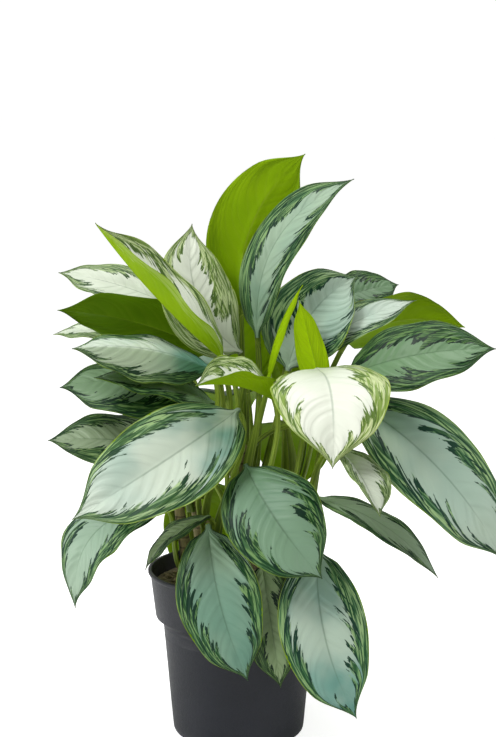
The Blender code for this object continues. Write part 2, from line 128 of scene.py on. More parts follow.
@dataclass
class Bench:
    """A node tree with short ways to add the nodes that the finishes share."""

    # The Mix node's sockets for colours.
    FIRST_COLOUR, SECOND_COLOUR, COLOUR_RESULT = 6, 7, 2

    tree: bpy.types.NodeTree

    def add(self, kind: str, **settings: object) -> bpy.types.Node:
        """Adds a node.

        Args:
            kind: The node's type, without the ShaderNode that starts its name.
            settings: Properties to set on it.

        Returns:
            The new node.
        """
        node = self.tree.nodes.new("ShaderNode" + kind)
        for name, value in settings.items():
            setattr(node, name, value)
        return node

    def feed(self, socket: Socket, value: Feed) -> None:
        """Links another node's output to a socket, or sets the socket's own value.

        Args:
            socket: The input to feed.
            value: An output socket, a number or a colour.
        """
        if isinstance(value, Socket):
            self.tree.links.new(value, socket)
        elif isinstance(value, tuple) and len(value) == 3 and socket.type == "RGBA":
            socket.default_value = (*value, 1.0)
        else:
            socket.default_value = value

    def math(self, operation: str, *values: Feed) -> Socket:
        """The result of a Math node.

        Args:
            operation: The node's operation.
            values: Its inputs, each a socket or a number.

        Returns:
            The output socket.
        """
        node = self.add("Math", operation=operation)
        for socket, value in zip(node.inputs, values):
            self.feed(socket, value)
        return node.outputs[0]

    def rise(self, low: Feed, high: Feed, value: Feed, to: tuple[float, float] = (0.0, 1.0)) -> Socket:
        """A smooth rise from one number to another.

        Args:
            low: Where the rise starts.
            high: Where it ends.
            value: The socket that it reads.
            to: Its result at the start and at the end.

        Returns:
            The output socket.
        """
        node = self.add("MapRange", interpolation_type="SMOOTHSTEP")
        for name, fed in (("Value", value), ("From Min", low), ("From Max", high)):
            self.feed(node.inputs[name], fed)
        node.inputs["To Min"].default_value, node.inputs["To Max"].default_value = to
        return node.outputs[0]

    def mix(self, share: Feed, low: Feed, high: Feed, blend: str = "MIX") -> Socket:
        """A colour between two others.

        Args:
            share: How far it is from low to high.
            low: The colour at 0.
            high: The colour at 1, or what low is blended with there.
            blend: The node's way of blending.

        Returns:
            The output socket.
        """
        node = self.add("Mix", data_type="RGBA", blend_type=blend)
        self.feed(node.inputs["Factor"], share)
        self.feed(node.inputs[self.FIRST_COLOUR], low)
        self.feed(node.inputs[self.SECOND_COLOUR], high)
        return node.outputs[self.COLOUR_RESULT]

    def darken(self, colour: Feed, share: Feed, by: Colour) -> Socket:
        """A colour, multiplied by another where share is 1."""
        return self.mix(share, colour, by, "MULTIPLY")

    def vector(self, x: Feed, y: Feed, z: Feed) -> Socket:
        """A vector made of three numbers or sockets.

        Args:
            x: Its first part.
            y: Its second part.
            z: Its third part.

        Returns:
            The output socket.
        """
        node = self.add("CombineXYZ")
        for socket, value in zip(node.inputs, (x, y, z)):
            self.feed(socket, value)
        return node.outputs[0]

    def noise(self, vector: Feed, scale: Feed = 1.0, detail: float = 2.0, rough: float = 0.5) -> Socket:
        """Smooth noise around 0.5.

        Args:
            vector: Where it is read.
            scale: How many lumps fit in one unit.
            detail: How many finer layers it has.
            rough: How strong the finer layers are.

        Returns:
            The output socket.
        """
        node = self.add("TexNoise")
        self.feed(node.inputs["Vector"], vector)
        self.feed(node.inputs["Scale"], scale)
        node.inputs["Detail"].default_value = detail
        node.inputs["Roughness"].default_value = rough
        return node.outputs["Fac"]

    def group(self, tree: bpy.types.NodeTree, **inputs: Feed) -> bpy.types.bpy_prop_collection:
        """Places a node group.

        Args:
            tree: The group.
            inputs: What feeds its inputs, by name.

        Returns:
            The group's outputs.
        """
        node = self.add("Group", node_tree=tree)
        for name, value in inputs.items():
            self.feed(node.inputs[name], value)
        return node.outputs

    def place(self) -> Socket:
        """The object's own coordinates."""
        return self.add("TexCoord").outputs["Object"]


def new_group(
    name: str, inputs: tuple[str, ...], outputs: tuple[str, ...]
) -> tuple[Bench, dict[str, Socket], dict[str, Socket]]:
    """Starts a shader node group whose sockets are all plain numbers, bar an input called Place.

    Args:
        name: The group's name.
        inputs: Its inputs' names. Place is a vector.
        outputs: Its outputs' names.

    Returns:
        The bench, the input sockets by name, and the output sockets by name.
    """
    tree = bpy.data.node_groups.new(name, "ShaderNodeTree")
    for socket in inputs:
        kind = "NodeSocketVector" if socket == "Place" else "NodeSocketFloat"
        tree.interface.new_socket(socket, in_out="INPUT", socket_type=kind)
    for socket in outputs:
        tree.interface.new_socket(socket, in_out="OUTPUT", socket_type="NodeSocketFloat")
    entry, leave = tree.nodes.new("NodeGroupInput"), tree.nodes.new("NodeGroupOutput")
    return (
        Bench(tree),
        {socket: entry.outputs[socket] for socket in inputs},
        {socket: leave.inputs[socket] for socket in outputs},
    )


@dataclass(frozen=True)
class Brush:
    """Noise drawn out over a blade, along its side veins, or beside its margin where stretch is the greater.

    pitch: how many lumps fit from the blade's base to its tip.
    stretch: how many fit from its midrib to its margin.
    shift: what sets it apart from the blade's other noises.
    detail and rough: how many finer layers it has, and how strong they are.
    """

    pitch: float
    stretch: float
    shift: float
    detail: float = 2.0
    rough: float = 0.6

    def draw(self, bench: Bench, sweep: Socket, across: Socket, leaf: Socket) -> Socket:
        """Adds the noise.

        Args:
            bench: The group's bench.
            sweep: Where a spot's side vein leaves the midrib.
            across: Where the spot is, from the midrib to the margin.
            leaf: The number that tells this half leaf from the others.

        Returns:
            The output socket, around 0.5.
        """
        spot = bench.vector(
            bench.math("MULTIPLY", sweep, self.pitch),
            bench.math("MULTIPLY", across, self.stretch),
            bench.math("ADD", leaf, self.shift),
        )
        return bench.noise(spot, 1.0, self.detail, self.rough)


@dataclass(frozen=True)
class FeatherPattern:
    """The pattern of a blade: a striped green band beside the margin, with dark blots on its inner side.

    In its group, Across runs from 0 at the midrib to 1 at the margin, Side is 0 or 1, Along runs from base
    to tip, Seed differs from leaf to leaf, and Fill is how far in the band reaches.
    """

    # The band's inner side: where it starts, how far it wanders, clumps and frays, and its close at the tip.
    start: float = 0.84
    fill_reach: float = 0.5
    wander: Brush = Brush(5.0, 0.5, 0.0)
    wander_reach: float = 1.3
    clump: Brush = Brush(15.0, 1.5, 5.1)
    clump_reach: float = 0.8
    fray: Brush = Brush(80.0, 12.0, 3.1)
    fray_reach: float = 0.2
    tip_from: float = 0.86
    tip_reach: float = 0.5
    band_softness: float = 0.12

    # Blots are common at the band's inner side and thin out towards the margin.
    spots: Brush = Brush(25.0, 5.0, 7.7)
    spot_fray: float = 0.25
    common_until: float = 0.08
    rare_from: float = 0.30
    least_spot: tuple[float, float] = (0.46, 0.60)
    blot_softness: float = 0.03

    # Dark lines and paler streaks run beside the margin.
    lines: Brush = Brush(6.0, 24.0, 0.0, 1.5, 0.5)
    line_rise: tuple[float, float] = (0.49, 0.54)
    lines_from: tuple[float, float] = (0.04, 0.16)
    streaks: Brush = Brush(6.0, 15.0, 13.0, 1.5, 0.5)
    streak_rise: tuple[float, float] = (0.40, 0.60)

    # The edge line, the midrib, which ends before the tip, and the side veins.
    edge_rise: tuple[float, float] = (0.965, 0.99)
    rib_rise: tuple[float, float] = (0.032, 0.006)
    rib_end: tuple[float, float] = (0.95, 0.55)
    vein_pitch: float = 78.0
    vein_wander: float = 14.0
    side_step: float = 5.3

    def build(self) -> bpy.types.NodeTree:
        """Builds the group.

        Returns:
            The group. It puts out the blots, the dark lines in the band, the band, its fine streaks, the
            edge line, the midrib and the side veins, each from 0 to 1.
        """
        bench, given, out = new_group(
            "Feathered blade", ("Across", "Side", "Along", "Seed", "Fill"),
            ("Blots", "Lines", "Band", "Streaks", "Edge", "Midrib", "Veins"),
        )
        across, along = given["Across"], given["Along"]
        leaf = bench.math("MULTIPLY_ADD", given["Side"], self.side_step, given["Seed"])
        bend = bench.math("MULTIPLY", bench.math("POWER", across, float(VEIN_BEND_POWER)), VEIN_BEND)
        sweep = bench.math("SUBTRACT", bench.math("MULTIPLY_ADD", across, -VEIN_SLANT, along), bend)
        spot = (bench, sweep, across, leaf)
        wander = bench.math("SUBTRACT", self.wander.draw(*spot), 0.5)
        fray = bench.math("SUBTRACT", self.fray.draw(*spot), 0.5)
        clump = bench.math("SUBTRACT", self.clump.draw(*spot), 0.5)

        start = bench.math("MULTIPLY_ADD", given["Fill"], -self.fill_reach, self.start)
        start = bench.math("MULTIPLY_ADD", wander, self.wander_reach, start)
        start = bench.math("MULTIPLY_ADD", clump, self.clump_reach, start)
        start = bench.math("SUBTRACT", start, bench.rise(self.tip_from, 1.0, along, (0.0, self.tip_reach)))
        depth = bench.math("MULTIPLY_ADD", fray, self.fray_reach, bench.math("SUBTRACT", across, start))

        spots = bench.math("MULTIPLY_ADD", fray, self.spot_fray, self.spots.draw(*spot))
        least = bench.rise(self.common_until, self.rare_from, depth, self.least_spot)
        blots = bench.rise(least, bench.math("ADD", least, self.blot_softness), spots)
        lines = bench.rise(*self.line_rise, self.lines.draw(*spot))
        ridge = bench.rise(*self.rib_rise, across)
        wave = bench.math("MULTIPLY", sweep, self.vein_pitch)
        wave = bench.math("MULTIPLY_ADD", wander, self.vein_wander, wave)
        results = {
            "Blots": bench.math("MULTIPLY", blots, bench.rise(0.0, self.blot_softness, depth)),
            "Lines": bench.math("MULTIPLY", lines, bench.rise(*self.lines_from, depth)),
            "Band": bench.rise(0.0, self.band_softness, depth),
            "Streaks": bench.rise(*self.streak_rise, self.streaks.draw(*spot)),
            "Edge": bench.rise(*self.edge_rise, across),
            "Midrib": bench.math("MULTIPLY", ridge, bench.rise(*self.rib_end, along)),
            "Veins": bench.rise(-1.0, 1.0, bench.math("SINE", wave)),
        }
        for name, socket in results.items():
            bench.feed(out[name], socket)
        return bench.tree


@dataclass(frozen=True)
class GrainPattern:
    """Mottling at three sizes: Cloud is broad, Grain is fine, and Scuff picks out a few marks.

    In its group, Size is how many lumps fit in a metre, and Cover is how common the marks are. Each mottling
    has its own multiple of that size, its finer layers, and their strength.
    """

    cloud: tuple[float, float, float] = (0.4, 3.0, 0.5)
    grain: tuple[float, float, float] = (12.0, 4.0, 0.6)
    scuff: tuple[float, float, float] = (2.5, 8.0, 0.72)
    scuff_start: float = 0.78
    cover_reach: float = 0.3
    scuff_softness: float = 0.06

    def build(self) -> bpy.types.NodeTree:
        """Builds the group.

        Returns:
            The group.
        """
        bench, given, out = new_group(
            "Surface grain", ("Place", "Size", "Cover"), ("Cloud", "Grain", "Scuff")
        )

        def mottling(scale: float, detail: float, rough: float) -> Socket:
            """Noise at a multiple of the group's size."""
            return bench.noise(given["Place"], bench.math("MULTIPLY", given["Size"], scale), detail, rough)

        reach = bench.math("MULTIPLY", given["Cover"], self.cover_reach)
        start = bench.math("SUBTRACT", self.scuff_start, reach)
        end = bench.math("ADD", start, self.scuff_softness)
        bench.feed(out["Cloud"], mottling(*self.cloud))
        bench.feed(out["Grain"], mottling(*self.grain))
        bench.feed(out["Scuff"], bench.rise(start, end, mottling(*self.scuff)))
        return bench.tree


class Groups:
    """The node groups that the finishes share, each built once."""

    feather: bpy.types.NodeTree
    grain: bpy.types.NodeTree

    @classmethod
    def build(cls) -> None:
        """Builds every group."""
        cls.feather = FeatherPattern().build()
        cls.grain = GrainPattern().build()


def new_material(name: str) -> tuple[bpy.types.Material, Bench, bpy.types.Node]:
    """Starts a material.

    Args:
        name: Its name.

    Returns:
        The material, its bench and its Principled shader.
    """
    material = bpy.data.materials.new(name)
    material.use_nodes = True
    return material, Bench(material.node_tree), material.node_tree.nodes["Principled BSDF"]


def add_bump(bench: Bench, shader: bpy.types.Node, height: Socket, depth: float) -> None:
    """Raises a shader's surface by a height map.

    Args:
        bench: The material's bench.
        shader: Its Principled shader.
        height: The map, from 0 to 1.
        depth: How deep the map is, in metres.
    """
    node = bench.add("Bump")
    node.inputs["Strength"].default_value = 1.0
    node.inputs["Distance"].default_value = depth
    bench.feed(node.inputs["Height"], height)
    bench.feed(shader.inputs["Normal"], node.outputs["Normal"])


def add_roughness(bench: Bench, shader: bpy.types.Node, mask: Socket, middle: float, spread: float) -> None:
    """Varies a shader's roughness by a mask.

    Args:
        bench: The material's bench.
        shader: Its Principled shader.
        mask: The mask, from 0 to 1.
        middle: The roughness where the mask is a half.
        spread: How far the roughness runs from 0 to 1 on the mask.
    """
    bench.feed(shader.inputs["Roughness"], bench.math("MULTIPLY_ADD", mask, spread, middle - spread / 2))


def blade_places(bench: Bench) -> dict[str, Socket]:
    """Where a spot lies on its leaf, and how its leaf differs from the others.

    Args:
        bench: The material's bench.

    Returns:
        Sockets called around, across, side, along, seed, cream, blue, shade and fill.
    """
    uv = bench.add("UVMap", uv_map=Skin.UV_NAME)
    split = bench.add("SeparateXYZ")
    bench.feed(split.inputs[0], uv.outputs["UV"])
    offset = bench.math("MULTIPLY_ADD", split.outputs[0], 2.0, -1.0)
    tone = bench.add("Attribute", attribute_name=Skin.TONE_NAME)
    parts = bench.add("SeparateColor")
    bench.feed(parts.inputs[0], tone.outputs["Color"])
    seed = bench.add("Attribute", attribute_name=Skin.SEED_NAME)
    return {
        "around": split.outputs[0],
        "across": bench.math("ABSOLUTE", offset),
        "side": bench.math("GREATER_THAN", offset, 0.0),
        "along": split.outputs[1],
        "seed": seed.outputs["Fac"],
        "cream": parts.outputs[0],
        "blue": parts.outputs[1],
        "shade": parts.outputs[2],
        "fill": tone.outputs["Alpha"],
    }


def feathers(bench: Bench, at: dict[str, Socket]) -> bpy.types.bpy_prop_collection:
    """Places the blade's pattern.

    Args:
        bench: The material's bench.
        at: Where a spot lies on its leaf.

    Returns:
        The pattern's outputs.
    """
    names = ("across", "side", "along", "seed", "fill")
    return bench.group(Groups.feather, **{name.capitalize(): at[name] for name in names})


# ---------------------------------------------------------------- finishes


@dataclass(frozen=True)
class BladeFinish:
    """The upper side of a variegated leaf: a pale centre, a striped green band and a thin yellow edge."""

    name: str = "leaf_upper_side"
    silver: Colour = tint(148, 187, 165)
    cream: Colour = tint(228, 232, 216)
    turquoise: Colour = tint(96, 152, 138)
    band_pale: Colour = tint(144, 184, 84)
    band_deep: Colour = tint(44, 104, 40)
    band_fresh: Colour = tint(196, 208, 138)
    line: Colour = tint(22, 76, 36)
    line_soft: Colour = tint(116, 146, 46)
    blot: Colour = tint(10, 56, 38)
    blot_soft: Colour = tint(86, 114, 38)
    edge: Colour = tint(156, 180, 60)
    rib: Colour = tint(70, 104, 74)
    # Painted shade: the colour that the shade tone multiplies in, for leaves in other leaves' shadow and for
    # their own duller green.
    shaded: Colour = (0.30, 0.40, 0.20)
    clouded: Colour = (0.8, 0.86, 0.8)
    clouded_rise: tuple[float, float] = (0.6, 0.3)
    clouded_share: tuple[float, float] = (0.0, 0.5)
    turquoise_rise: tuple[float, float] = (0.36, 0.62)
    turquoise_share: tuple[float, float] = (0.2, 1.15)
    fresh_rise: tuple[float, float] = (0.80, 1.0)
    band_cover: float = 0.85
    line_cover: float = 0.9
    rib_cover: float = 0.35
    edge_cover: float = 0.65
    fresh_cover: float = 0.8
    paler_streaks: float = 0.25
    grain_size: float = 30.0
    grain_cover: float = 0.2
    roughness: float = 0.42
    roughness_spread: float = 0.16
    specular: float = 0.25
    vein_depth: float = 0.0008
    vein_share: float = 0.5
    grain_share: float = 0.1

    def build(self) -> bpy.types.Material:
        """Builds the material.

        Returns:
            The material.
        """
        material, bench, shader = new_material(self.name)
        at = blade_places(bench)
        pattern = feathers(bench, at)
        grain = bench.group(Groups.grain, Place=bench.place(), Size=self.grain_size, Cover=self.grain_cover)
        centre = bench.mix(at["cream"], self.silver, self.cream)
        clouds = bench.rise(*self.turquoise_rise, grain["Cloud"], self.turquoise_share)
        centre = bench.mix(bench.math("MULTIPLY", at["blue"], clouds), centre, self.turquoise)
        colour = self.striped(bench, at, pattern, centre)
        colour = bench.mix(bench.math("MULTIPLY", pattern["Midrib"], self.rib_cover), colour, self.rib)
        colour = bench.mix(bench.math("MULTIPLY", pattern["Edge"], self.edge_cover), colour, self.edge)
        # Painted shade, with the leaf's own duller green, multiplied in by its shade tone.
        colour = bench.darken(colour, at["shade"], self.shaded)
        cloud = bench.rise(*self.clouded_rise, grain["Cloud"], self.clouded_share)
        bench.feed(shader.inputs["Base Color"], bench.darken(colour, cloud, self.clouded))
        shader.inputs["Specular IOR Level"].default_value = self.specular
        add_roughness(bench, shader, grain["Grain"], self.roughness, self.roughness_spread)
        relief = bench.math("MULTIPLY", pattern["Veins"], self.vein_share)
        relief = bench.math("MULTIPLY_ADD", grain["Grain"], self.grain_share, relief)
        add_bump(bench, shader, relief, self.vein_depth)
        return material

    def striped(
        self, bench: Bench, at: dict[str, Socket], pattern: bpy.types.bpy_prop_collection, centre: Socket
    ) -> Socket:
        """Lays the green band with its streaks, lines and blots over the blade's centre.

        Args:
            bench: The material's bench.
            at: Where a spot lies on its leaf.
            pattern: The blade's pattern.
            centre: The centre's colour.

        Returns:
            The colour's socket. On the whitest leaves the band is fresh and its dark marks are soft.
        """
        streak = bench.mix(self.paler_streaks, self.band_pale, centre)
        band = bench.mix(pattern["Streaks"], self.band_deep, streak)
        fresh = bench.rise(*self.fresh_rise, at["cream"])
        band = bench.mix(bench.math("MULTIPLY", fresh, self.fresh_cover), band, self.band_fresh)
        colour = bench.mix(bench.math("MULTIPLY", pattern["Band"], self.band_cover), centre, band)
        line = bench.mix(fresh, self.line, self.line_soft)
        colour = bench.mix(bench.math("MULTIPLY", pattern["Lines"], self.line_cover), colour, line)
        return bench.mix(pattern["Blots"], colour, bench.mix(fresh, self.blot, self.blot_soft))


@dataclass(frozen=True)
class UndersideFinish:
    """The underside of a leaf: plain green, partly brightened by painted light through it, with raised side
    veins and a paler midrib.
    """

    name: str = "leaf_underside"
    # Painted light: fresh and young brighten the underside's own green for light that shines through the
    # leaf.
    green: Colour = tint(104, 142, 2)
    fresh: Colour = tint(142, 178, 6)
    young: Colour = tint(172, 210, 8)
    streak: Colour = tint(190, 206, 130)
    vein: Colour = tint(138, 166, 34)
    patch: Colour = tint(68, 104, 6)
    # Painted shade: the colour that the shade tone multiplies in, for undersides in other leaves' shadow and
    # for their own duller green.
    shaded: Colour = (0.30, 0.40, 0.24)
    clouded: Colour = (0.72, 0.8, 0.6)
    clouded_rise: tuple[float, float] = (0.62, 0.35)
    clouded_share: tuple[float, float] = (0.0, 0.55)
    young_rise: tuple[float, float] = (0.92, 1.0)
    streaked_fill: tuple[float, float] = (0.7, 0.8)
    streak_share: tuple[float, float] = (0.0, 0.4)
    vein_rise: tuple[float, float] = (0.9, 1.0)
    vein_share: tuple[float, float] = (0.0, 0.16)
    patch_cover: float = 0.14
    rib_cover: float = 0.8
    edge_cover: float = 0.7
    grain_size: float = 30.0
    grain_cover: float = 0.2
    roughness: float = 0.5
    roughness_spread: float = 0.16
    specular: float = 0.07
    vein_depth: float = 0.00016
    grain_share: float = 0.1

    def build(self) -> bpy.types.Material:
        """Builds the material.

        Returns:
            The material.
        """
        material, bench, shader = new_material(self.name)
        at = blade_places(bench)
        pattern = feathers(bench, at)
        grain = bench.group(Groups.grain, Place=bench.place(), Size=self.grain_size, Cover=self.grain_cover)
        # The underside's own green, brightened towards fresh and young by painted light through the leaf.
        colour = bench.mix(at["cream"], self.green, self.fresh)
        colour = bench.mix(bench.rise(*self.young_rise, at["cream"]), colour, self.young)
        colour = bench.mix(bench.math("MULTIPLY", pattern["Lines"], self.patch_cover), colour, self.patch)
        streaked = bench.rise(*self.streaked_fill, at["fill"], self.streak_share)
        streaks = bench.math("MULTIPLY", pattern["Streaks"], streaked)
        colour = bench.mix(bench.math("MULTIPLY", streaks, pattern["Band"]), colour, self.streak)
        veins = bench.rise(*self.vein_rise, pattern["Veins"], self.vein_share)
        colour = bench.mix(veins, colour, self.vein)
        colour = bench.mix(bench.math("MULTIPLY", pattern["Midrib"], self.rib_cover), colour, self.vein)
        colour = bench.mix(bench.math("MULTIPLY", pattern["Edge"], self.edge_cover), colour, self.vein)
        # Painted shade, with the underside's own duller green, multiplied in by its shade tone.
        colour = bench.darken(colour, at["shade"], self.shaded)
        cloud = bench.rise(*self.clouded_rise, grain["Cloud"], self.clouded_share)
        bench.feed(shader.inputs["Base Color"], bench.darken(colour, cloud, self.clouded))
        shader.inputs["Specular IOR Level"].default_value = self.specular
        add_roughness(bench, shader, grain["Grain"], self.roughness, self.roughness_spread)
        relief = bench.math("MULTIPLY_ADD", grain["Grain"], self.grain_share, pattern["Veins"])
        add_bump(bench, shader, relief, self.vein_depth)
        return material


@dataclass(frozen=True)
class StalkFinish:
    """A leaf stalk: green with fine lengthwise lines, deeper at its foot, and paler on some leaves."""

    name: str = "leaf_stalk"
    green: Colour = tint(74, 104, 4)
    pale: Colour = tint(144, 166, 56)
    deep: Colour = tint(26, 44, 2)
    paleness: float = 0.55
    grain_size: float = 40.0
    grain_cover: float = 0.2
    lines_around: float = 26.0
    lines_along: float = 2.0
    roughness: float = 0.5
    roughness_spread: float = 0.2
    specular: float = 0.2
    line_depth: float = 0.0005

    def build(self) -> bpy.types.Material:
        """Builds the material.

        Returns:
            The material.
        """
        material, bench, shader = new_material(self.name)
        at = blade_places(bench)
        grain = bench.group(Groups.grain, Place=bench.place(), Size=self.grain_size, Cover=self.grain_cover)
        around = bench.math("MULTIPLY", at["around"], self.lines_around)
        along = bench.math("MULTIPLY", at["along"], self.lines_along)
        lines = bench.noise(bench.vector(around, along, at["seed"]), 1.0, 3.0)
        colour = bench.mix(bench.rise(0.35, 0.65, lines), self.green, self.pale)
        own = bench.math("FRACT", bench.math("MULTIPLY", at["seed"], 3.71))
        colour = bench.mix(bench.math("MULTIPLY", own, self.paleness), colour, self.pale)
        colour = bench.mix(bench.rise(0.55, 0.3, grain["Cloud"], (0.0, 0.5)), colour, self.deep)
        colour = bench.mix(bench.rise(0.35, 0.0, at["along"], (0.0, 0.35)), colour, self.deep)
        bench.feed(shader.inputs["Base Color"], colour)
        shader.inputs["Specular IOR Level"].default_value = self.specular
        add_roughness(bench, shader, grain["Grain"], self.roughness, self.roughness_spread)
        add_bump(bench, shader, lines, self.line_depth)
        return material


@dataclass(frozen=True)
class CaneFinish:
    """A cane: green-brown bark with dry patches and a dark ring above each joint."""

    name: str = "cane_bark"
    bark: Colour = tint(96, 98, 52)
    dry: Colour = tint(150, 134, 92)
    ring: Colour = tint(70, 60, 38)
    ring_cover: float = 0.8
    dry_cover: float = 0.7
    grain_size: float = 60.0
    grain_cover: float = 0.5
    roughness: float = 0.72
    roughness_spread: float = 0.2
    depth: float = 0.0008

    def build(self) -> bpy.types.Material:
        """Builds the material.

        Returns:
            The material.
        """
        material, bench, shader = new_material(self.name)
        place = bench.place()
        grain = bench.group(Groups.grain, Place=place, Size=self.grain_size, Cover=self.grain_cover)
        split = bench.add("SeparateXYZ")
        bench.feed(split.inputs[0], place)
        wave = bench.math("SINE", bench.math("MULTIPLY", split.outputs[2], math.tau / Canes.JOINT_PITCH))
        colour = bench.mix(grain["Cloud"], self.bark, self.dry)
        colour = bench.mix(bench.rise(0.75, 0.98, wave, (0.0, self.ring_cover)), colour, self.ring)
        colour = bench.mix(bench.math("MULTIPLY", grain["Scuff"], self.dry_cover), colour, self.dry)
        bench.feed(shader.inputs["Base Color"], colour)
        add_roughness(bench, shader, grain["Grain"], self.roughness, self.roughness_spread)
        add_bump(bench, shader, grain["Grain"], self.depth)
        return material


@dataclass(frozen=True)
class MixFinish:
    """Damp potting mix or a chip of bark in it."""

    name: str
    dark: Colour
    mid: Colour
    light: Colour
    fleck_cover: float = 0.6
    grain_size: float = 70.0
    grain_cover: float = 0.9
    roughness: float = 0.875
    roughness_spread: float = 0.15
    depth: float = 0.002

    def build(self) -> bpy.types.Material:
        """Builds the material.

        Returns:
            The material.
        """
        material, bench, shader = new_material(self.name)
        grain = bench.group(Groups.grain, Place=bench.place(), Size=self.grain_size, Cover=self.grain_cover)
        tone = bench.add("Attribute", attribute_name=Skin.SEED_NAME)
        own = bench.math("FRACT", bench.math("MULTIPLY", tone.outputs["Fac"], 7.31))
        colour = bench.mix(bench.rise(0.35, 0.7, grain["Grain"]), self.dark, self.mid)
        colour = bench.mix(bench.math("MULTIPLY", own, grain["Cloud"]), colour, self.light)
        colour = bench.mix(bench.math("MULTIPLY", grain["Scuff"], self.fleck_cover), colour, self.light)
        bench.feed(shader.inputs["Base Color"], colour)
        add_roughness(bench, shader, grain["Cloud"], self.roughness, self.roughness_spread)
        add_bump(bench, shader, grain["Grain"], self.depth)
        return material


BED = MixFinish("potting_mix_bed", tint(70, 62, 48), tint(126, 112, 88), tint(178, 162, 134))
CHIPS = MixFinish("bark_chips", tint(96, 82, 62), tint(150, 130, 102), tint(204, 186, 156), depth=0.0006)


@dataclass(frozen=True)
class PlasticFinish:
    """Moulded grey plastic: a fine haze, faint turned lines, pale rubs and dried splashes low down."""

    name: str = "pot_grey_plastic"
    grey: Colour = tint(22, 26, 34)
    haze: Colour = tint(34, 37, 46)
    rub: Colour = tint(84, 86, 94)
    rub_cover: float = 0.35
    splash_cover: float = 0.5
    splash_height: float = 0.012
    grain_size: float = 24.0
    grain_cover: float = 0.25
    line_pitch: float = 0.0011
    line_share: float = 0.25
    roughness: float = 0.42
    roughness_spread: float = 0.2
    specular: float = 0.42
    depth: float = 0.00025

    def build(self) -> bpy.types.Material:
        """Builds the material.

        Returns:
            The material.
        """
        material, bench, shader = new_material(self.name)
        shader.inputs["Specular IOR Level"].default_value = self.specular
        place = bench.place()
        grain = bench.group(Groups.grain, Place=place, Size=self.grain_size, Cover=self.grain_cover)
        split = bench.add("SeparateXYZ")
        bench.feed(split.inputs[0], place)
        turned = bench.math("SINE", bench.math("MULTIPLY", split.outputs[2], math.tau / self.line_pitch))
        colour = bench.mix(bench.rise(0.35, 0.75, grain["Cloud"]), self.grey, self.haze)
        colour = bench.mix(bench.math("MULTIPLY", grain["Scuff"], self.rub_cover), colour, self.rub)
        low = bench.rise(self.splash_height, 0.0, split.outputs[2], (0.0, self.splash_cover))
        colour = bench.mix(bench.math("MULTIPLY", low, grain["Grain"]), colour, self.rub)
        bench.feed(shader.inputs["Base Color"], colour)
        worn = bench.math("ADD", grain["Grain"], grain["Scuff"])
        add_roughness(bench, shader, worn, self.roughness, self.roughness_spread)
        relief = bench.math("MULTIPLY_ADD", turned, self.line_share, grain["Grain"])
        add_bump(bench, shader, relief, self.depth)
        return material


# ---------------------------------------------------------------- meshes


@dataclass
class Skin:
    """A mesh in the making: points, faces, and what its material reads at each point."""

    UV_NAME = "Blade"
    TONE_NAME = "tone"
    SEED_NAME = "seed"

    points: list[np.ndarray] = field(default_factory=list)
    places: list[np.ndarray] = field(default_factory=list)
    tones: list[np.ndarray] = field(default_factory=list)
    seeds: list[np.ndarray] = field(default_factory=list)
    faces: list[tuple[int, ...]] = field(default_factory=list)
    slots: list[int] = field(default_factory=list)
    count: int = 0

    def add_points(self, points: np.ndarray, places: np.ndarray, tones: np.ndarray, seed: float) -> None:
        """Adds points.

        Args:
            points: One row of (x, y, z) for each.
            places: One row of (across, along) for each.
            tones: One row of four tone numbers for each.
            seed: The number that tells this leaf or chip from the others.
        """
        self.points.append(points)
        self.places.append(places)
        self.tones.append(tones)
        self.seeds.append(np.full(len(points), seed))
        self.count += len(points)

    def add_face(self, corners: tuple[int, ...], slot: int = 0) -> None:
        """Adds a face in a material slot."""
        self.faces.append(corners)
        self.slots.append(slot)

    def add_tube(self, rings: int, sides: int) -> None:
        """Joins the skin's rings of points into a tube that is closed at both ends.

        Args:
            rings: How many there are, the lowest first.
            sides: How many points each has.
        """
        for i in range(rings - 1):
            for j in range(sides):
                k = (j + 1) % sides
                self.add_face((i * sides + j, i * sides + k, (i + 1) * sides + k, (i + 1) * sides + j))
        self.add_face(tuple(range(sides))[::-1])
        self.add_face(tuple(range((rings - 1) * sides, rings * sides)))

    def build(
        self, name: str, materials: list[bpy.types.Material], sharp: float | None = None
    ) -> bpy.types.Object:
        """Makes the object.

        Args:
            name: Its name.
            materials: Its materials, by slot.
            sharp: The angle in degrees above which an edge is hard, or None for none.

        Returns:
            The object.
        """
        mesh = bpy.data.meshes.new(name)
        mesh.from_pydata(np.vstack(self.points).tolist(), [], self.faces)
        corners = np.zeros(len(mesh.loops), np.int32)
        mesh.loops.foreach_get("vertex_index", corners)
        layer = mesh.uv_layers.new(name=self.UV_NAME)
        layer.data.foreach_set("uv", np.vstack(self.places)[corners].astype(np.float32).ravel())
        tone = mesh.attributes.new(self.TONE_NAME, "FLOAT_COLOR", "POINT")
        tone.data.foreach_set("color", np.vstack(self.tones).astype(np.float32).ravel())
        seed = mesh.attributes.new(self.SEED_NAME, "FLOAT", "POINT")
        seed.data.foreach_set("value", np.concatenate(self.seeds).astype(np.float32))
        for material in materials:
            mesh.materials.append(material)
        mesh.polygons.foreach_set("material_index", self.slots)
        mesh.shade_smooth()
        if sharp is not None:
            mesh.set_sharp_from_angle(angle=math.radians(sharp))
        mesh.update()
        obj = bpy.data.objects.new(name, mesh)
        bpy.context.scene.collection.objects.link(obj)
        return obj


def settle(piece: bpy.types.Object, slot: Slot, *nodes: str) -> None:
    """Makes a piece ride on the plant's body and stand for its CAD nodes.

    Args:
        piece: The piece.
        slot: Not used.
        nodes: The CAD nodes.
    """
    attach(piece, BODY)
    if nodes:
        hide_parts(*nodes)
    LOG.info("%s: %d faces for %s", piece.name, len(piece.data.polygons), ", ".join(nodes) or "no node")


@dataclass(frozen=True)
class CaneSpec:
    """A cane's foot on the potting mix, its height above it, and how far it leans for each metre up."""

    foot: tuple[float, float]
    height: float
    lean: tuple[float, float]


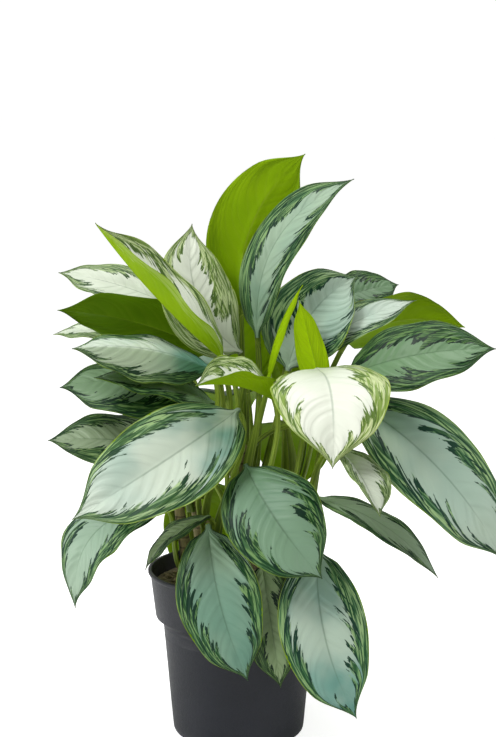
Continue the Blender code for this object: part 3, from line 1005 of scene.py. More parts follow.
CANES = (
    CaneSpec((-0.022, -0.034), 0.080, (-0.08, -0.10)),
    CaneSpec((0.028, -0.036), 0.085, (0.10, -0.12)),
    CaneSpec((-0.036, 0.028), 0.110, (-0.12, 0.06)),
    CaneSpec((0.040, 0.028), 0.110, (0.12, 0.06)),
    CaneSpec((0.004, -0.004), 0.150, (0.00, 0.02)),
    CaneSpec((0.004, 0.046), 0.110, (0.02, 0.14)),
    CaneSpec((-0.050, -0.008), 0.090, (-0.14, -0.02)),
    CaneSpec((0.052, -0.006), 0.085, (0.14, -0.02)),
)

# The potting mix's height, where the canes' feet are.
SOIL_TOP = 0.160


@dataclass
class Canes:
    """The short upright stems, with a low ring at each joint."""

    JOINT_PITCH = 0.011

    radius: float = 0.0075
    top_radius: float = 0.0055
    depth: float = 0.030
    sides: int = 28
    rings: int = 64
    joint_swell: float = 0.0006
    joint_narrowness: int = 8
    least_top: float = 0.05

    def axis(self, cane: CaneSpec, height: float) -> np.ndarray:
        """The point on a cane's centre line at a height above the potting mix."""
        x, y = cane.foot
        return np.array((x + cane.lean[0] * height, y + cane.lean[1] * height, SOIL_TOP + height))

    def radius_at(self, cane: CaneSpec, height: float) -> float:
        """A cane's radius between its joints."""
        share = min(max(height / cane.height, 0.0), 1.0)
        return self.radius + (self.top_radius - self.radius) * share

    def build(self, finish: bpy.types.Material) -> None:
        """Builds every cane.

        Args:
            finish: The bark.
        """
        turns = np.arange(self.sides) * math.tau / self.sides
        around = np.stack([np.cos(turns), np.sin(turns), np.zeros(self.sides)], 1)
        for number, cane in enumerate(CANES, 1):
            skin = Skin()
            for i in range(self.rings + 1):
                height = -self.depth + (cane.height + self.depth) * i / self.rings
                centre = self.axis(cane, height)
                joint = max(math.cos(math.tau * centre[2] / self.JOINT_PITCH), 0.0) ** self.joint_narrowness
                radius = self.radius_at(cane, height) + self.joint_swell * (joint - 0.5)
                to_top = (cane.height - height) / self.top_radius
                if to_top < 1.0:
                    radius *= math.sqrt(max(1.0 - (1.0 - to_top) ** 2, self.least_top))
                places = np.stack([turns / math.tau, np.full(self.sides, i / self.rings)], 1)
                skin.add_points(centre + around * radius, places, np.zeros((self.sides, 4)), number)
            skin.add_tube(self.rings + 1, self.sides)
            settle(skin.build(f"grown_cane_{number}", [finish]), Slot.CANE, f"cane_{number}")


@dataclass(frozen=True)
class Tone:
    """How a leaf's colour differs from plain silver, each from 0 to 1.

    cream: how white its centre is, or on a plain leaf how fresh its green is, partly painted light shining
    through it.
    blue: how blue-green it is at its base, where the light falls through other leaves.
    shade: how dull and deep it is: partly its own deeper green, partly painted shade where other leaves
    shadow it.
    fill: how far its green band reaches in from the margin.
    drift: how much bluer its tip is than its base.
    """

    cream: float
    blue: float
    shade: float
    fill: float = 0.5
    drift: float = -1.0


# Each look's shade tone carries painted shade for leaves that lie in other leaves' shadow, as well as their
# own duller green.
class Look(Enum):
    """The leaves' colours."""

    CREAM = Tone(1.0, 0.0, 0.0, 0.45)
    CREAMY = Tone(0.88, 0.0, 0.16, 0.65)
    PALE = Tone(0.84, 0.80, 0.03, 0.6)
    SILVER = Tone(0.50, 0.45, 0.10)
    MUTED = Tone(0.42, 0.30, 0.38)
    BLUISH = Tone(0.50, 0.60, 0.14)
    GREENISH = Tone(0.93, 0.0, 0.08, 0.7)
    COOL = Tone(0.16, 0.22, 0.54)
    WATERY = Tone(0.30, 0.40, 0.42, 0.5, 1.0)
    MISTY = Tone(0.55, 0.50, 0.0, 0.5, 1.0)
    ARCHING = Tone(0.45, 0.50, 0.40, 0.85)
    SAGE = Tone(0.70, 0.0, 0.70, 0.6)
    SOFT = Tone(0.90, 0.0, 0.16, 0.7)
    SHADED = Tone(0.30, 0.05, 0.78)
    DULL = Tone(0.45, 0.0, 0.42, 0.45)
    OLIVE = Tone(0.75, 0.0, 0.92, 0.8)
    DEEP = Tone(0.22, 0.20, 0.84, 0.85)
    FRESH = Tone(1.0, 0.0, 0.0)
    PLAIN = Tone(0.70, 0.0, 0.0)
    PLAIN_DEEP = Tone(0.1, 0.0, 0.50)


@dataclass(frozen=True)
class LeafSpec:
    """One leaf: where it sits on its cane, and how its blade lies. Lengths in metres, angles in degrees.

    cane, seat and heading: the cane's number, the seat's height above the potting mix, and the side of the
        cane that the seat is on, turned from +X towards +Y.
    base and tip: the ends of the blade's midrib.
    face: the way that the upper side looks.
    arch and sway: how far the midrib bows towards the upper side, and towards the right-hand half.
    fold and curl: how far the left and right halves rise from the midrib, and bend back by their margins.
    twist: how far the blade turns about its midrib between its base and its tip.
    lop: how much further the green reaches in on the left half than on the right.
    painted_half_shade: how much darker the left half is painted than the right, as shade on a half that
    hangs away from the light.
    """

    name: str
    look: Look
    cane: int
    seat: float
    heading: float
    base: Point
    tip: Point
    face: Point
    width: float
    arch: float = 0.02
    sway: float = 0.0
    fold: tuple[float, float] = (16, 16)
    curl: tuple[float, float] = (30, 30)
    twist: float = 0.0
    lop: float = 0.0
    painted_half_shade: float = 0.0


LEAVES = (
    # The crown, on the tallest cane.
    LeafSpec("crown_tall", Look.PLAIN, 4, 0.130, 90, (0.002, 0.030, 0.450), (0.069, 0.030, 0.607),
             (0.0, 1.0, 0.1), 0.086, arch=0.000, sway=0.022, fold=(10, 10), curl=(20, 20)),
    LeafSpec("crown_arching", Look.ARCHING, 4, 0.110, 42, (0.020, 0.004, 0.420), (0.117, -0.016, 0.585),
             (-0.4, -0.7, 0.4), 0.060, arch=0.018, sway=-0.030, fold=(15, 15), lop=0.55),
    LeafSpec("crown_left", Look.GREENISH, 4, 0.115, 150, (0.002, 0.000, 0.405), (-0.047, 0.000, 0.538),
             (0.1, -0.9, 0.4), 0.078, arch=0.012, sway=-0.024, lop=-0.2),
    LeafSpec("crown_edge", Look.GREENISH, 4, 0.095, 235, (-0.012, -0.044, 0.405), (-0.140, -0.078, 0.547),
             (0.733, -0.137, 0.687), 0.078, arch=-0.006, fold=(45, 45), curl=(8, 8), lop=0.2),
    LeafSpec("new", Look.FRESH, 4, 0.138, 5, (0.089, -0.012, 0.354), (0.062, -0.022, 0.462),
             (-0.3, 0.9, 0.2), 0.034, arch=0.000, fold=(30, 30)),
    LeafSpec("crown_rolled", Look.FRESH, 4, 0.120, 300, (0.032, -0.020, 0.382), (0.066, -0.008, 0.476),
             (0.8, 0.5, 0.0), 0.013, arch=-0.008, fold=(45, 45), curl=(0, 0)),
    LeafSpec("crown_silver", Look.BLUISH, 4, 0.070, 20, (0.051, 0.010, 0.384), (0.124, 0.034, 0.480),
             (-0.2, -0.8, 0.55), 0.098, arch=0.010, sway=-0.012, lop=0.5),
    # The left-hand side.
    LeafSpec("left_top", Look.CREAMY, 2, 0.100, 170, (-0.061, 0.030, 0.445), (-0.187, 0.030, 0.484),
             (-0.1, -0.5, 0.85), 0.065, arch=0.008),
    LeafSpec("left_green", Look.PLAIN_DEEP, 4, 0.065, 185, (-0.024, -0.005, 0.406), (-0.184, -0.020, 0.452),
             (0.1, 0.8, 0.6), 0.078, arch=0.014),
    LeafSpec("left_slim", Look.CREAMY, 6, 0.080, 130, (-0.093, 0.055, 0.414), (-0.196, 0.055, 0.415),
             (0.0, -0.2, 0.97), 0.060, arch=0.006),
    LeafSpec("left_folded", Look.PALE, 0, 0.070, 170, (-0.026, -0.030, 0.392), (-0.166, -0.066, 0.420),
             (-0.1, -0.2, 0.97), 0.070, arch=0.012, fold=(-45, 18), curl=(30, 30), painted_half_shade=0.55),
    LeafSpec("left_under", Look.SHADED, 0, 0.045, 130, (-0.024, -0.020, 0.354), (-0.146, -0.042, 0.386),
             (-0.1, -0.3, 0.9), 0.065, arch=0.010),
    LeafSpec("left_shaded", Look.SHADED, 2, 0.070, 230, (-0.040, 0.010, 0.362), (-0.185, 0.000, 0.368),
             (0.0, -0.4, 0.9), 0.090, arch=0.012, fold=(-8, 16)),
    LeafSpec("left_lower", Look.SAGE, 6, 0.045, 150, (-0.072, 0.030, 0.300), (-0.200, 0.020, 0.308),
             (0.0, -0.6, 0.8), 0.074, arch=0.006),
    LeafSpec("left_large", Look.PALE, 0, 0.060, 300, (0.000, -0.055, 0.355), (-0.162, -0.140, 0.263),
             (-0.2, -0.85, 0.5), 0.108, arch=0.018, sway=-0.010, lop=-0.1),
    LeafSpec("left_hanging", Look.MUTED, 6, 0.020, 205, (-0.077, -0.020, 0.248), (-0.168, -0.050, 0.146),
             (-0.4, -0.6, 0.6), 0.072, arch=0.040, sway=0.012),
    LeafSpec("rim_left", Look.OLIVE, 0, 0.036, 203, (-0.030, -0.068, 0.247), (-0.095, -0.066, 0.191),
             (-0.3, -0.2, 0.9), 0.044, arch=0.012),
    # The front.
    LeafSpec("centre_curled", Look.GREENISH, 1, 0.070, 200, (0.036, -0.056, 0.368), (-0.042, -0.098, 0.388),
             (-0.05, -0.27, 1.0), 0.066, arch=0.008, fold=(50, 50), curl=(15, 15)),
    LeafSpec("front_cream", Look.CREAM, 1, 0.065, 20, (0.080, -0.032, 0.392), (0.091, -0.165, 0.319),
             (0.0, -0.5, 0.85), 0.120, arch=0.030, sway=-0.006, lop=0.3),
    LeafSpec("front_centre", Look.COOL, 1, 0.042, 240, (0.008, -0.080, 0.303), (0.083, -0.140, 0.203),
             (-0.1, -0.8, 0.6), 0.100, arch=0.018, sway=0.008),
    LeafSpec("hanging_left", Look.WATERY, 0, 0.010, 255, (-0.030, -0.085, 0.242), (0.010, -0.120, 0.092),
             (-0.1, -0.95, 0.2), 0.086, arch=0.014, sway=0.006),
    LeafSpec("hanging_right", Look.MISTY, 1, 0.015, 330, (0.080, -0.080, 0.219), (0.119, -0.122, 0.053),
             (0.05, -0.95, 0.25), 0.090, arch=0.016, sway=0.014, lop=0.15),
    LeafSpec("hanging_middle", Look.OLIVE, 1, 0.010, 275, (0.024, -0.092, 0.206), (0.043, -0.112, 0.082),
             (0.0, -0.95, 0.2), 0.060, arch=0.004),
    # The right-hand side.
    LeafSpec("right_narrow", Look.PALE, 3, 0.090, 300, (0.050, 0.030, 0.384), (0.186, 0.036, 0.454),
             (-0.2, -0.6, 0.75), 0.052, arch=0.014),
    LeafSpec("right_rear", Look.DEEP, 3, 0.100, 25, (0.092, 0.078, 0.442), (0.172, 0.100, 0.462),
             (0.0, -0.7, 0.7), 0.056, arch=0.008),
    LeafSpec("right_green", Look.PLAIN, 3, 0.075, 0, (0.113, 0.054, 0.405), (0.240, 0.058, 0.422),
             (0.1, 0.75, 0.65), 0.084, arch=0.024),
    LeafSpec("right_dark", Look.DEEP, 7, 0.075, 30, (0.110, -0.010, 0.382), (0.260, -0.050, 0.417),
             (0.1, -0.75, 0.65), 0.080, arch=0.016, lop=0.45),
    LeafSpec("right_large", Look.SILVER, 7, 0.055, 330, (0.119, -0.030, 0.359), (0.268, -0.080, 0.205),
             (0.35, -0.75, 0.55), 0.110, arch=0.028, lop=0.25),
    LeafSpec("right_small", Look.SOFT, 7, 0.035, 296, (0.098, -0.108, 0.328), (0.137, -0.172, 0.274),
             (0.3, -0.65, 0.7), 0.066, arch=0.008, fold=(8, 55)),
    LeafSpec("right_low", Look.DULL, 1, 0.030, 0, (0.080, -0.022, 0.256), (0.205, -0.056, 0.180),
             (0.35, -0.4, 0.85), 0.048, arch=0.018),
    # The rear.
    LeafSpec("rear_high", Look.SILVER, 4, 0.090, 80, (0.008, 0.044, 0.360), (0.000, 0.082, 0.510),
             (0.0, 0.95, 0.25), 0.084, arch=0.008),
    LeafSpec("rear_straight", Look.SILVER, 5, 0.100, 68, (0.003, 0.094, 0.406), (0.006, 0.242, 0.414),
             (0.0, 0.1, 1.0), 0.080, arch=0.022),
    LeafSpec("rear_right_high", Look.SILVER, 3, 0.085, 95, (0.062, 0.080, 0.406), (0.146, 0.198, 0.416),
             (0.1, 0.1, 1.0), 0.078, arch=0.020),
    LeafSpec("rear_right_middle", Look.SILVER, 5, 0.080, 22, (0.031, 0.098, 0.398), (0.058, 0.146, 0.316),
             (0.1, 0.7, 0.7), 0.074, arch=0.008),
    LeafSpec("rear_right_low", Look.SILVER, 3, 0.025, 50, (0.080, 0.065, 0.315), (0.175, 0.170, 0.255),
             (0.4, 0.4, 0.8), 0.086, arch=0.024),
    LeafSpec("rear_left_high", Look.SILVER, 5, 0.085, 176, (-0.021, 0.070, 0.372), (-0.058, 0.220, 0.368),
             (0.0, 0.15, 1.0), 0.080, arch=0.020),
    LeafSpec("rear_left_middle", Look.SILVER, 2, 0.080, 60, (-0.048, 0.060, 0.365), (-0.120, 0.200, 0.300),
             (-0.2, 0.4, 0.9), 0.086, arch=0.026),
    LeafSpec("rear_left_low", Look.SILVER, 2, 0.025, 130, (-0.068, 0.062, 0.285), (-0.155, 0.150, 0.220),
             (-0.4, 0.4, 0.8), 0.084, arch=0.024),
    LeafSpec("rear_middle", Look.SILVER, 5, 0.055, 107, (-0.013, 0.080, 0.343), (-0.030, 0.240, 0.261),
             (0.0, 0.4, 0.9), 0.090, arch=0.026),
    LeafSpec("rear_low", Look.SILVER, 5, 0.043, 8, (0.044, 0.078, 0.316), (0.066, 0.175, 0.216),
             (0.1, 0.65, 0.75), 0.090, arch=0.016),
    LeafSpec("rear_hanging_right", Look.SILVER, 5, 0.020, 70, (0.035, 0.090, 0.240), (0.050, 0.160, 0.080),
             (0.1, 0.9, 0.4), 0.086, arch=0.020),
    LeafSpec("rear_hanging_left", Look.SILVER, 5, 0.015, 130, (-0.030, 0.085, 0.250),
             (-0.050, 0.165, 0.100), (-0.1, 0.9, 0.4), 0.088, arch=0.020),
)


@dataclass
class Leaf:
    """A leaf's stalk and blade, swept along the curves that its CAD solid follows."""

    SEED_STEP = 7919
    OWN_SHADER_STEP = 1.37
    OWN_QUILT_STEP = 3.7
    UPPER, UNDER, STALK = 0, 1, 2

    spec: LeafSpec
    canes: Canes
    number: int
    stalk_rings: int = 14
    blade_rings: int = 44
    half: int = 12
    crowding: float = 1.15
    thickness: float = 0.0007
    neck: float = 0.08
    belly: float = 0.86
    roundness: float = 0.72
    tip_sharpness: float = 0.5
    tip_from: float = 0.78
    drip: float = 0.25
    drip_rise: tuple[float, float] = (0.6, 0.95)
    tip_half_width: float = 0.0005
    seat_half_width: float = 0.0058
    seat_half_depth: float = 0.0025
    stalk_radius: float = 0.0029
    groove: float = 0.0012
    groove_width: float = 0.45
    groove_fade: float = 0.6
    taper_end: float = 0.8
    reach_share: float = 0.38
    lean: float = 0.30
    fit_gap: float = 0.0003
    least_curl: float = 0.1
    rib_depth: float = 0.0022
    rib_width: float = 0.045
    rib_hollow: float = 0.35
    under_rib_spread: float = 1.4
    full_relief_half_width: float = 0.03
    wave_height: float = 0.0022
    wave_power: float = 2.5
    wave_counts: tuple[float, float] = (1.6, 2.8)
    quilt_height: float = 0.0024
    quilts_along: float = 7.0
    quilts_across: float = 1.2
    # Painted shade towards the blade's base, under the leaves above, over the base's own deeper green.
    base_shade: float = 0.45
    base_shade_end: float = 0.38
    blue_middle: float = 0.2
    painted_half_shade_rise: tuple[float, float] = (0.5, 0.44)
    lop_slope: float = 4.0
    sharp_edge: float = 60.0

    base: np.ndarray = field(init=False)
    tip: np.ndarray = field(init=False)
    face: np.ndarray = field(init=False)
    control: np.ndarray = field(init=False)
    outward: np.ndarray = field(init=False)
    seat: np.ndarray = field(init=False)
    start: np.ndarray = field(init=False)
    arrive: np.ndarray = field(init=False)
    reach: float = field(init=False)
    waves: float = field(init=False)
    phases: tuple[float, float] = field(init=False)

    def __post_init__(self) -> None:
        """Places the midrib's control point and the stalk's ends, and draws the blade's own waves."""
        spec = self.spec
        self.base, self.tip = np.array(spec.base), np.array(spec.tip)
        self.face = unit(np.array(spec.face, float))
        chord = unit(self.tip - self.base)
        right = unit(np.cross(chord, self.face))
        up = np.cross(right, chord)
        self.control = (self.base + self.tip) / 2 + 2 * (spec.arch * up + spec.sway * right)
        cane = CANES[spec.cane]
        heading = math.radians(spec.heading)
        self.outward = np.array((math.cos(heading), math.sin(heading), 0.0))
        clear = self.canes.radius_at(cane, spec.seat) + self.fit_gap + self.seat_half_depth
        self.seat = self.canes.axis(cane, spec.seat) + self.outward * clear
        self.start = unit(np.array((cane.lean[0], cane.lean[1], 1.0)) + self.outward * self.lean)
        self.reach = float(np.linalg.norm(self.base - self.seat)) * self.reach_share
        arriving = unit(self.base - self.seat - self.start * self.reach)
        self.arrive = unit(arriving + self.direction(0.0))
        draw = random.Random(self.number * self.SEED_STEP)
        self.waves = draw.uniform(*self.wave_counts)
        self.phases = (draw.uniform(0, math.tau), draw.uniform(0, math.tau))

    def midrib(self, along: float) -> np.ndarray:
        """A point on the midrib."""
        rest = 1.0 - along
        return rest * rest * self.base + 2 * rest * along * self.control + along * along * self.tip

    def direction(self, along: float) -> np.ndarray:
        """The midrib's direction."""
        return unit((1.0 - along) * (self.control - self.base) + along * (self.tip - self.control))

    def blade_axes(self, along: float) -> tuple[np.ndarray, np.ndarray]:
        """The ways across and up from the blade, square to its midrib.

        Args:
            along: Where it is on the blade, from 0 to 1.

        Returns:
            The two ways, each one metre long.
        """
        direction = self.direction(along)
        turn = math.radians(self.spec.twist * along)
        face = self.face * math.cos(turn) + np.cross(direction, self.face) * math.sin(turn)
        face = face + direction * np.dot(direction, self.face) * (1.0 - math.cos(turn))
        right = unit(np.cross(direction, face))
        return right, np.cross(right, direction)

    def stalk(self, share: float) -> np.ndarray:
        """A point on the stalk's centre line.

        Args:
            share: Where it is, from 0 at the seat to 1 at the blade.

        Returns:
            The point.
        """
        rest = 1.0 - share
        lower = self.seat + self.start * self.reach
        upper = self.base - self.arrive * self.reach
        return (
            rest**3 * self.seat + 3 * rest**2 * share * lower + 3 * rest * share**2 * upper
            + share**3 * self.base
        )

    def stalk_axes(self, share: float) -> tuple[np.ndarray, np.ndarray]:
        """The ways across and up from the stalk. Its upper side turns from the cane to the blade's way.

        Args:
            share: Where it is on the stalk, from 0 to 1.

        Returns:
            The two ways, each one metre long.
        """
        step = 0.01
        direction = unit(self.stalk(min(share + step, 1.0)) - self.stalk(max(share - step, 0.0)))
        ease = float(smooth(0.0, 1.0, share))
        face = -self.outward * (1.0 - ease) + self.blade_axes(0.0)[1] * ease
        right = unit(np.cross(direction, face))
        return right, np.cross(right, direction)

    def half_width(self, along: float) -> float:
        """The blade's half width: an oval, drawn out to a drip tip.

        Args:
            along: Where it is on the blade, from 0 to 1.

        Returns:
            The half width.
        """
        roundness = self.roundness + self.tip_sharpness * float(smooth(self.tip_from, 1.0, along))
        oval = max(math.sin(math.pi * along**self.belly), 0.0) ** roundness
        drip = self.drip * (1.0 - along) * float(smooth(*self.drip_rise, along))
        return max(self.spec.width / 2 * (oval + drip), self.tip_half_width)

    def stalk_section(self, share: float) -> np.ndarray:
        """The stalk's outline: a grooved sheath at the seat, round by the blade.

        Args:
            share: Where it is on the stalk, from 0 to 1.

        Returns:
            Rows of (across, up), in the same order as the blade's outline.
        """
        ease = float(smooth(0.0, self.taper_end, share))
        half_width = self.seat_half_width + (self.stalk_radius - self.seat_half_width) * ease
        half_depth = self.seat_half_depth + (self.stalk_radius - self.seat_half_depth) * ease
        count = 2 * self.half
        top = np.pi * (1.0 - np.arange(count + 1) / count)
        bottom = -np.pi * np.arange(1, count) / count
        groove = self.groove * (1.0 - self.groove_fade * ease)
        upper = half_depth * np.sin(top) - groove * np.exp(-((np.cos(top) / self.groove_width) ** 2))
        above = np.stack([half_width * np.cos(top), upper], 1)
        below = np.stack([half_width * np.cos(bottom), half_depth * np.sin(bottom)], 1)
        return np.vstack([above, below])

    def across(self) -> np.ndarray:
        """Where the outline's upper points are across the blade, from -1 to 1."""
        even = np.arange(-self.half, self.half + 1) / self.half
        return np.sign(even) * (1.0 - (1.0 - np.abs(even)) ** self.crowding)

    def blade_section(self, along: float) -> np.ndarray:
        """The blade's outline: two folded and curled halves, their relief, and the midrib below.

        Args:
            along: Where it is on the blade, from 0 to 1.

        Returns:
            Rows of (across, up): its upper side from left to right, then its underside back.
        """
        across = self.across()
        side = (across > 0).astype(int)
        fold = np.radians(np.array(self.spec.fold, float))[side]
        curl = np.radians(np.maximum(np.array(self.spec.curl, float), self.least_curl))[side]
        spread = np.abs(across)
        outward = (np.sin(fold) - np.sin(fold - curl * spread)) / curl
        upward = (np.cos(fold - curl * spread) - np.cos(fold)) / curl
        width = self.half_width(along)
        top = np.stack([np.sign(across) * outward * width, upward * width], 1)
        top[:, 1] += self.relief(along, across) * min(width / self.full_relief_half_width, 1.0)
        depth = self.rib_depth * (1.0 - along)
        hollow = self.rib_hollow * depth * np.exp(-((spread / self.rib_width) ** 2))
        top[:, 1] -= hollow * float(smooth(0.0, 0.1, along))
        bottom = top[1:-1].copy()
        rib = depth * np.exp(-((spread[1:-1] / (self.under_rib_spread * self.rib_width)) ** 2))
        bottom[:, 1] -= np.minimum(self.thickness + rib, width)
        return np.vstack([top, bottom[::-1]])

    def relief(self, along: float, across: np.ndarray) -> np.ndarray:
        """A wide blade's relief: a wave by its margins, and quilting between its side veins.

        Args:
            along: Where it is on the blade, from 0 to 1.
            across: Where the points are across it, from -1 to 1.

        Returns:
            The height at each point.
        """
        spread = np.abs(across)
        phase = np.array(self.phases)[(across > 0).astype(int)]
        wave = np.sin(math.tau * (self.waves * along) + phase) * spread**self.wave_power
        sweep = along - VEIN_SLANT * spread - VEIN_BEND * spread**VEIN_BEND_POWER
        own = self.number * self.OWN_QUILT_STEP
        quilt = [
            noise.noise(Vector((self.quilts_along * a, self.quilts_across * b, own)))
            for a, b in zip(sweep, across)
        ]
        waved = self.wave_height * wave * float(smooth(0.0, 0.25, along))
        return waved + self.quilt_height * np.array(quilt) * smooth(0.0, 0.3, spread)

    def tone_rows(self, places: np.ndarray, along: float) -> np.ndarray:
        """The four tone numbers of a ring's points.

        Args:
            places: Where the points are across the leaf, from 0 to 1.
            along: Where the ring is along the leaf.

        Returns:
            One row for each point.
        """
        tone = self.spec.look.value
        rows = np.empty((len(places), 4))
        rows[:, 0] = tone.cream
        rows[:, 1] = tone.blue * (1.0 + tone.drift * (along - self.blue_middle))
        # Painted shade towards the base, where the leaves above shadow it, over the base's own deeper green.
        shaded = self.base_shade * smooth(0.0, 1.0, 1.0 - along / self.base_shade_end)
        rows[:, 2] = tone.shade + (1.0 - tone.shade) * shaded
        # Painted shade on the left half of the blade, which hangs away from the light.
        rows[:, 2] += self.spec.painted_half_shade * smooth(*self.painted_half_shade_rise, places)
        rows[:, 3] = tone.fill + self.spec.lop * np.clip(self.lop_slope * (0.5 - places), -0.5, 1.0)
        return rows

    def build(self, finishes: list[bpy.types.Material]) -> None:
        """Builds the leaf.

        Args:
            finishes: The upper side's, the underside's and the stalk's.
        """
        skin = Skin()
        across = self.across()
        places = 0.5 + 0.5 * np.concatenate([across, across[1:-1][::-1]])
        around = np.arange(len(places)) / len(places)
        for i in range(self.stalk_rings):
            share = i / self.stalk_rings
            axes = self.stalk_axes(share)
            self.add_ring(skin, self.stalk(share), axes, self.stalk_section(share), around, share)
        stalk_end = self.stalk_section(1.0)
        for i in range(self.blade_rings + 1):
            along = 0.5 * (1.0 - math.cos(math.pi * i / self.blade_rings))
            axes = self.stalk_axes(1.0) if i == 0 else self.blade_axes(along)
            opened = float(smooth(0.0, self.neck, along))
            section = stalk_end + (self.blade_section(along) - stalk_end) * opened
            self.add_ring(skin, self.midrib(along), axes, section, places, along)
        self.add_faces(skin, len(places))
        node = f"leaf_{self.spec.name}"
        young = self.spec.look is Look.FRESH
        piece = skin.build(f"grown_{node}", finishes, self.sharp_edge)
        settle(piece, Slot.YOUNG if young else Slot.LEAF, node)
        check_place(piece, node)

    def add_ring(
        self, skin: Skin, centre: np.ndarray, axes: tuple[np.ndarray, np.ndarray],
        section: np.ndarray, places: np.ndarray, along: float,
    ) -> None:
        """Adds a ring of points.

        Args:
            skin: The leaf's skin.
            centre: The ring's centre.
            axes: The ways across and up.
            section: Its outline.
            places: Where its points are across the leaf.
            along: Where it is along the leaf.
        """
        points = centre + section[:, :1] * axes[0] + section[:, 1:] * axes[1]
        spots = np.stack([places, np.full(len(points), along)], 1)
        own = self.number * self.OWN_SHADER_STEP
        skin.add_points(points, spots, self.tone_rows(places, along), own)

    def add_faces(self, skin: Skin, sides: int) -> None:
        """Joins the rings: the stalk, then the blade's upper side and underside.

        Args:
            skin: The leaf's skin.
            sides: How many points a ring has.
        """
        rings = self.stalk_rings + self.blade_rings + 1
        for i in range(rings - 1):
            low, high = i * sides, (i + 1) * sides
            for j in range(sides):
                k = (j + 1) % sides
                blade = self.UNDER if j >= 2 * self.half else self.UPPER
                slot = self.STALK if i < self.stalk_rings else blade
                skin.add_face((low + j, high + j, high + k, low + k), slot)
        skin.add_face(tuple(range(sides)), self.STALK)
        skin.add_face(tuple(range((rings - 1) * sides, rings * sides))[::-1], self.UPPER)


def check_place(piece: bpy.types.Object, node: str, slack: float = 0.006) -> None:
    """Reports a piece that strays from its CAD node.

    Args:
        piece: The piece.
        node: The node that it stands for.
        slack: How far their boxes may differ.
    """
    low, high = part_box(node)
    points = np.empty(len(piece.data.vertices) * 3)
    piece.data.vertices.foreach_get("co", points)
    points = points.reshape(-1, 3)
    gap = max(np.abs(points.min(0) - np.array(low)).max(), np.abs(points.max(0) - np.array(high)).max())
    if gap > slack:
        LOG.warning("%s is %.1f mm from its node", piece.name, gap * 1000)


@dataclass
class Pot:
    """The nursery pot: a tapered body, a deep collar, a thin lip, faint rings and drain holes."""

    sides: int = 128
    underside: float = 0.0006
    floor: float = 0.0022
    foot: tuple[float, float] = (0.0690, 0.004)
    shoulder: tuple[float, float] = (0.0795, 0.120)
    ring_heights: tuple[float, ...] = (0.104, 0.116)
    ring_rise: float = 0.00012
    ring_hollow: float = 0.0002
    ring_half_width: float = 0.0008
    weld: float = 1e-6
    sharp_edge: float = 40.0
    drain_count: int = 8
    drain_radius: float = 0.005
    drain_circle: float = 0.047
    drain_sides: int = 32
    drill_length: float = 0.02

    def body_radius(self, height: float) -> float:
        """The tapered body's radius at a height."""
        (low_radius, low), (high_radius, high) = self.foot, self.shoulder
        return low_radius + (high_radius - low_radius) * (height - low) / (high - low)

    def outline(self) -> list[tuple[float, float]]:
        """The wall, as points of a radius and a height.

        Returns:
            The points: the outside up to the lip, then the inside down to the floor.
        """
        foot = [
            (0.0640, self.underside), (0.0656, 0.0), (0.0668, 0.0004), (0.0682, 0.0022), (0.0689, 0.0042),
            (0.0693, 0.0070),
        ]
        rings = []
        for height in self.ring_heights:
            radius = self.body_radius(height)
            rings += [
                (radius - self.ring_hollow, height - self.ring_half_width),
                (radius + self.ring_rise, height),
                (radius, height + self.ring_half_width),
            ]
        shoulder = [(0.0794, 0.1190), (0.0799, 0.1202), (0.0855, 0.1248), (0.0868, 0.1258)]
        collar = [(0.0872, 0.1272), (0.0898, 0.1490), (0.0922, 0.1690), (0.0926, 0.1706)]
        lip = [(0.0942, 0.1716), (0.0949, 0.1728), (0.0950, 0.1748), (0.0944, 0.1758), (0.0934, 0.1760)]
        inside = [
            (0.0916, 0.1756), (0.0909, 0.1745), (0.0905, 0.1690), (0.0855, 0.1275), (0.0838, 0.1255),
            (0.0785, 0.1212), (0.0779, 0.1200), (0.0676, 0.0072), (0.0664, 0.0040), (0.0640, 0.0026),
            (0.0620, self.floor),
        ]
        return foot + rings + shoulder + collar + lip + inside

    def build(self, finish: bpy.types.Material) -> None:
        """Builds the pot.

        Args:
            finish: Its plastic.
        """
        shape = bmesh.new()
        profile = [(0.0, self.underside)] + self.outline() + [(0.0, self.floor)]
        points = [shape.verts.new((radius, 0.0, height)) for radius, height in profile]
        edges = [shape.edges.new(pair) for pair in zip(points, points[1:])]
        bmesh.ops.spin(
            shape, geom=points + edges, axis=(0, 0, 1), cent=(0, 0, 0), steps=self.sides, angle=math.tau
        )
        bmesh.ops.remove_doubles(shape, verts=shape.verts, dist=self.weld)
        bmesh.ops.recalc_face_normals(shape, faces=shape.faces)
        mesh = bpy.data.meshes.new("moulded_pot")
        shape.to_mesh(mesh)
        shape.free()
        pot = bpy.data.objects.new("moulded_pot", mesh)
        bpy.context.scene.collection.objects.link(pot)
        self.drill(pot)
        pot.data.materials.clear()
        pot.data.materials.append(finish)
        pot.data.shade_smooth()
        pot.data.set_sharp_from_angle(angle=math.radians(self.sharp_edge))
        settle(pot, Slot.POT, "pot")

    def drill(self, pot: bpy.types.Object) -> None:
        """Cuts the drain holes.

        Args:
            pot: The pot.
        """
        drills = bmesh.new()
        for i in range(self.drain_count):
            turn = math.tau * (i + 0.5) / self.drain_count
            made = bmesh.ops.create_cone(
                drills, cap_ends=True, segments=self.drain_sides, radius1=self.drain_radius,
                radius2=self.drain_radius, depth=self.drill_length,
            )
            centre = Vector((math.cos(turn), math.sin(turn), 0.0)) * self.drain_circle
            bmesh.ops.translate(drills, verts=made["verts"], vec=centre)
        mesh = bpy.data.meshes.new("drills")
        drills.to_mesh(mesh)
        drills.free()
        cutter = bpy.data.objects.new("drills", mesh)
        bpy.context.scene.collection.objects.link(cutter)
        cut = pot.modifiers.new("drain", "BOOLEAN")
        cut.operation, cut.solver, cut.object = "DIFFERENCE", "EXACT", cutter
        graph = bpy.context.evaluated_depsgraph_get()
        drilled = bpy.data.meshes.new_from_object(pot.evaluated_get(graph))
        pot.modifiers.clear()
        pot.data = drilled
        bpy.data.objects.remove(cutter, do_unlink=True)


